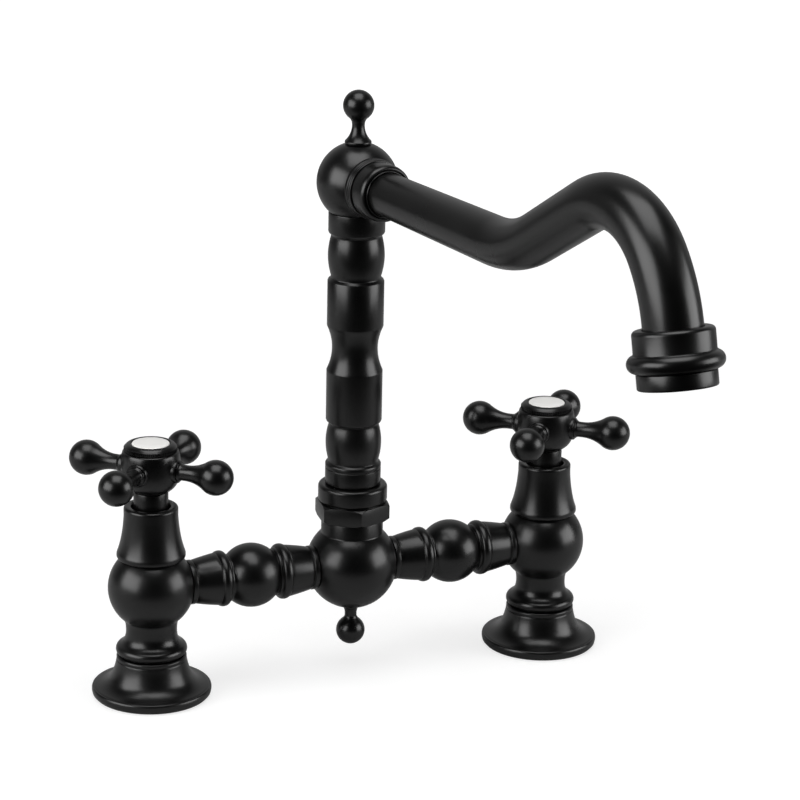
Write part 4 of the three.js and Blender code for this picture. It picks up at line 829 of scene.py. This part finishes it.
def union_nut():
    """A ring whose nose rounds over to a step around the tube."""
    low, thread, hole = UNION_START, UNION_THREAD + SEAT, TUBE_RADIUS + 0.4
    return along_x(eased(turned([
        (thread, low), (13.1, low), (13.3, low + 0.3), (13.3, 24.6),
        *sweep((13.3, 24.9), (13.2, 27.5), (11.8, 27.9), 8), (11.35, 27.6), (11.15, 27.3),
        (10.95, 27.8), (10.8, 28.2), (hole, 28.2), (hole, 23.4), (thread, 23.4),
    ], bored=True), 0.12), HEAD_HEIGHT)


def swan_neck():
    """Stations down the spout's centre line: x, z, heading in degrees above level, and the distance
    travelled: level, up through the dip, along the rise, over the crown and down the beak."""
    stations = [(TUBE_START, HEAD_HEIGHT, 0, 0)]

    def forward(length):
        x, z, heading, travelled = stations[-1]
        a = radians(heading)
        stations.append((x + length * cos(a), z + length * sin(a), heading, travelled + length))

    def bend(radius, angle, count):
        x, z, heading, travelled = stations[-1]
        side = radius if angle > 0 else -radius
        a = radians(heading)
        for i in range(1, count + 1):
            b = radians(heading + angle * i / count)
            stations.append((x + side * (sin(b) - sin(a)), z + side * (cos(a) - cos(b)),
                             degrees(b), travelled + radius * abs(b - a)))

    forward(RUN_REACH - TUBE_START)
    bend(DIP_RADIUS, RISE_ANGLE, 12)
    forward(RISE_LENGTH)
    bend(CROWN_RADIUS, -RISE_ANGLE - CROWN_DESCENT, 26)
    bend(BEAK_RADIUS, CROWN_DESCENT + BEAK_TILT - 90, 10)
    forward(MOUTH_LENGTH)
    return stations


def spout_tube():
    """A tube drawn round the swan neck that widens steadily to its mouth."""
    stations = swan_neck()
    length = stations[-1][3]

    def radius_at(travelled):
        return TUBE_RADIUS + TUBE_WIDENING * travelled / length

    x, z, _, _ = stations[0]
    bpy.ops.object.select_all(action="DESELECT")
    bpy.ops.mesh.primitive_circle_add(
        vertices=ROUND, radius=TUBE_RADIUS * MM, location=(x * MM, 0, z * MM),
        rotation=(0, pi / 2, 0))
    bpy.ops.object.mode_set(mode="EDIT")
    bpy.ops.mesh.select_all(action="SELECT")
    for before, station in zip(stations, stations[1:]):
        step = ((station[0] - before[0]) * MM, 0, (station[1] - before[1]) * MM)
        centre = (station[0] * MM, 0, station[1] * MM)
        bpy.ops.mesh.extrude_region_move(TRANSFORM_OT_translate={"value": step})
        bend = radians(station[2] - before[2])
        if bend:
            bpy.ops.transform.rotate(value=bend, orient_axis="Y", center_override=centre)
        scale = radius_at(station[3]) / radius_at(before[3])
        bpy.ops.transform.resize(value=(scale, scale, scale), center_override=centre)
    bpy.ops.mesh.select_all(action="SELECT")
    bpy.ops.mesh.normals_make_consistent(inside=False)
    bpy.ops.object.mode_set(mode="OBJECT")
    bpy.ops.object.transform_apply()
    return modified(bpy.context.object, "SOLIDIFY", thickness=TUBE_WALL * MM, offset=-1,
                    use_even_offset=True)


def outlet_body():
    """A collar with a rounded shoulder over the tube's mouth, and a full bead below it."""
    bead, nipple = OUTLET_BOTTOM, OUTLET_NIPPLE
    nipple_end, bore = bead - OUTLET_NIPPLE_LENGTH, nipple - 2.2
    return eased(turned([
        (bore, nipple_end), (nipple, nipple_end), (nipple, bead), (15.6, bead),
        *arc(16, bead + 3.7, 3.7, -84, 74, 9), (16.85, bead + 7.5), (16.7, bead + 7.9),
        *arc(14.7, 0, 2, 0, 90, 12), (12.6, 2), (12.6, -SEAT), (bore, -SEAT),
    ], bored=True), 0.12)


def aerator_housing():
    """The cup under the bead, with a narrow rolled lip round its mouth."""
    low, high, ledge, hole = -21.7, OUTLET_BOTTOM - SEAT, AERATOR_LEDGE - SEAT, 12.2
    bore = OUTLET_NIPPLE + SEAT
    return eased(turned([
        (hole, low + 0.2), (12.5, low), (15.5, low), *arc(15.6, low + 0.7, 0.7, -90, 0, 22)[1:],
        (16.3, high), (bore, high), (bore, ledge), (hole, ledge),
    ], bored=True), 0.12)


def aerator_insert():
    """A moulded rim with a cross of small square studs inside it."""
    ledge, inner, pitch, stud = AERATOR_LEDGE, 10.9, 1.5, 1
    insert = eased(turned([
        (inner, ledge - 1.3), (11.9, ledge - 1.3), (11.9, ledge), (12.9, ledge),
        (12.9, ledge + 0.6), (inner, ledge + 0.6)], bored=True), 0.1)
    count = int(inner / pitch)
    studs = []
    for across, height in ((0, ledge - 0.7), (90, ledge - 0.68)):
        for k in range(-count, count + 1):
            bpy.ops.mesh.primitive_cube_add(size=stud * MM)
            studs.append(placed(bpy.context.object, at(0, k * pitch, height), turn(across)))
    only(insert)
    for made in studs:
        made.select_set(True)
    bpy.ops.object.join()
    return insert


def aerator_washer():
    top = OUTLET_BOTTOM - OUTLET_NIPPLE_LENGTH - SEAT
    return ring(9.5, OUTLET_NIPPLE, top - 1, top, 0.15)


def spout():
    for make in (column, spout_head, rear_cap, union_nut, spout_tube):
        shown(placed(make(), SPOUT), make.__name__, "spout")
    upper = finial(length=24.9, ball=7.2, neck=2.95, waist=(8.0, 9.0), foot=FINIAL_FLAT)
    shown(placed(upper, at(0, 0, HEAD_TOP + SEAT), SPOUT), "top_finial", "spout")
    x, z, _, _ = swan_neck()[-1]
    for make in (outlet_body, aerator_housing, aerator_insert, aerator_washer):
        piece = placed(make(), turn(-BEAK_TILT, "Y"), at(x, 0, z), SPOUT)
        shown(piece, make.__name__, "spout")


# ---------------------------------------------------------------------------------------------
# Studio
# ---------------------------------------------------------------------------------------------

def toward(azimuth, elevation=0):
    """The direction from the object to an azimuth, counted from -Y toward +X, and an elevation."""
    a, e = radians(azimuth), radians(elevation)
    return Vector((sin(a) * cos(e), -cos(a) * cos(e), sin(e)))


def camera():
    back, roll = toward(CAMERA_AZIMUTH, CAMERA_ELEVATION), radians(CAMERA_ROLL)
    level = (-back).cross(Vector((0, 0, 1))).normalized()
    upright = level.cross(-back)
    right = level * cos(roll) + upright * sin(roll)
    up = upright * cos(roll) - level * sin(roll)
    data = bpy.data.cameras.new("camera")
    data.sensor_width = SENSOR
    data.lens = CAMERA_FOCAL_PIXELS / FRAME_PIXELS * SENSOR
    data.clip_start = 0.05
    data.clip_end = 30
    made = bpy.data.objects.new("camera", data)
    where = Vector(CAMERA_TARGET) * MM + back * CAMERA_DISTANCE * MM
    made.matrix_world = Matrix.Translation(where) @ Matrix((right, up, back)).transposed().to_4x4()
    bpy.context.scene.collection.objects.link(made)
    bpy.context.scene.camera = made


def softbox(name, azimuth, elevation, width, height, power):
    """A rectangular light that faces the object from an azimuth off the camera's."""
    direction = toward(CAMERA_AZIMUTH + azimuth, elevation)
    light = bpy.data.lights.new(name, "AREA")
    light.shape = "RECTANGLE"
    light.size = width
    light.size_y = height
    light.energy = power
    made = bpy.data.objects.new(name, light)
    made.location = Vector((0, 0, SOFTBOX_AIM)) + direction * SOFTBOX_DISTANCE
    made.rotation_euler = direction.to_track_quat("Z", "Y").to_euler()
    made.visible_camera = False
    bpy.context.scene.collection.objects.link(made)


def floor():
    """A white floor. What the black coating reflects of it is painted: painted light near the object
    and painted shade towards the camera. To the camera it glows a little short of white, so the
    lamps finish the white and the object's shadow is left soft and grey."""
    bpy.ops.mesh.primitive_plane_add(size=FLOOR_SIZE, location=(0, 0, 0))
    made = bpy.context.object
    made.name = "floor"
    material, tree, place = new_material("studio_floor")
    camera_ray = add_node(tree, "ShaderNodeLightPath").outputs["Is Camera Ray"]
    ahead = add_node(tree, "ShaderNodeVectorMath", {
        0: place, 1: toward(CAMERA_AZIMUTH + FLOOR_FRONT)}, operation="DOT_PRODUCT")
    # Painted reflection: the floor's paint as the coating sees it, painted light near the object and
    # painted shade in front of it
    painted_reflection = add_node(tree, "ShaderNodeMapRange", {
        "Value": ahead.outputs["Value"], "From Min": FLOOR_PAINTED_LIGHT_END, "From Max": FLOOR_PAINTED_SHADE_START,
        "To Min": FLOOR_PAINTED_LIGHT, "To Max": FLOOR_PAINTED_SHADE}, interpolation_type="SMOOTHSTEP")
    # The camera sees the plain paint, and every other ray sees the painted light and shade
    tone = add_node(tree, "ShaderNodeMapRange", {
        "Value": camera_ray, "To Min": painted_reflection.outputs["Result"], "To Max": FLOOR_PAINT})
    paint = add_node(tree, "ShaderNodeBsdfDiffuse", {"Color": tone.outputs["Result"]})
    away = add_node(tree, "ShaderNodeVectorMath", {0: place}, operation="LENGTH")
    glow = add_node(tree, "ShaderNodeMapRange", {
        "Value": away.outputs["Value"], "From Min": GLOW_NEAR_END, "From Max": GLOW_FAR_START,
        "To Min": GLOW_NEAR, "To Max": GLOW_FAR}, interpolation_type="SMOOTHSTEP")
    strength = add_node(tree, "ShaderNodeMath", {
        0: glow.outputs["Result"], 1: camera_ray}, operation="MULTIPLY")
    fill = add_node(tree, "ShaderNodeEmission", {"Strength": strength.outputs[0]})
    finished(tree, add_node(tree, "ShaderNodeAddShader", {0: paint.outputs[0], 1: fill.outputs[0]}))
    made.data.materials.append(material)


def backdrop():
    """White to the camera. The coating sees it light behind the object and dark in front."""
    world = bpy.context.scene.world or bpy.data.worlds.new("world")
    bpy.context.scene.world = world
    world.use_nodes = True
    tree = world.node_tree
    tree.nodes.clear()
    direction = add_node(tree, "ShaderNodeTexCoord").outputs["Generated"]
    camera_ray = add_node(tree, "ShaderNodeLightPath").outputs["Is Camera Ray"]
    behind = add_node(tree, "ShaderNodeVectorMath", {
        0: direction, 1: -toward(CAMERA_AZIMUTH)}, operation="DOT_PRODUCT")
    glow = add_node(tree, "ShaderNodeMapRange", {
        "Value": behind.outputs["Value"], "From Min": BACKDROP_DARK_END,
        "From Max": BACKDROP_LIGHT_START, "To Min": 0, "To Max": BACKDROP_LIGHT},
        interpolation_type="SMOOTHSTEP")
    white = (1, 1, 1, 1)
    seen = add_node(tree, "ShaderNodeBackground", {"Color": white, "Strength": 1})
    lit = add_node(tree, "ShaderNodeBackground", {
        "Color": white, "Strength": glow.outputs["Result"]})
    mixed = add_node(tree, "ShaderNodeMixShader", {
        0: camera_ray, 1: lit.outputs[0], 2: seen.outputs[0]})
    add_node(tree, "ShaderNodeOutputWorld", {"Surface": mixed.outputs[0]})


def studio():
    softbox("left", azimuth=-58, elevation=20, width=1.8, height=1.3, power=32)
    softbox("right", azimuth=81, elevation=13, width=1.4, height=1.1, power=21)
    softbox("overhead", azimuth=0, elevation=82, width=1.6, height=1.6, power=27)
    floor()
    backdrop()


# ---------------------------------------------------------------------------------------------
# The whole
# ---------------------------------------------------------------------------------------------

camera()
legs()
handles()
bridge()
spout()

for node, cad in frame["nodes"].items():
    if not cad.hide_render:
        cad.data.materials.clear()
        cad.data.materials.append(FINISHES[slot_of[node]])

studio()
bpy.context.scene.view_settings.view_transform = "Standard"
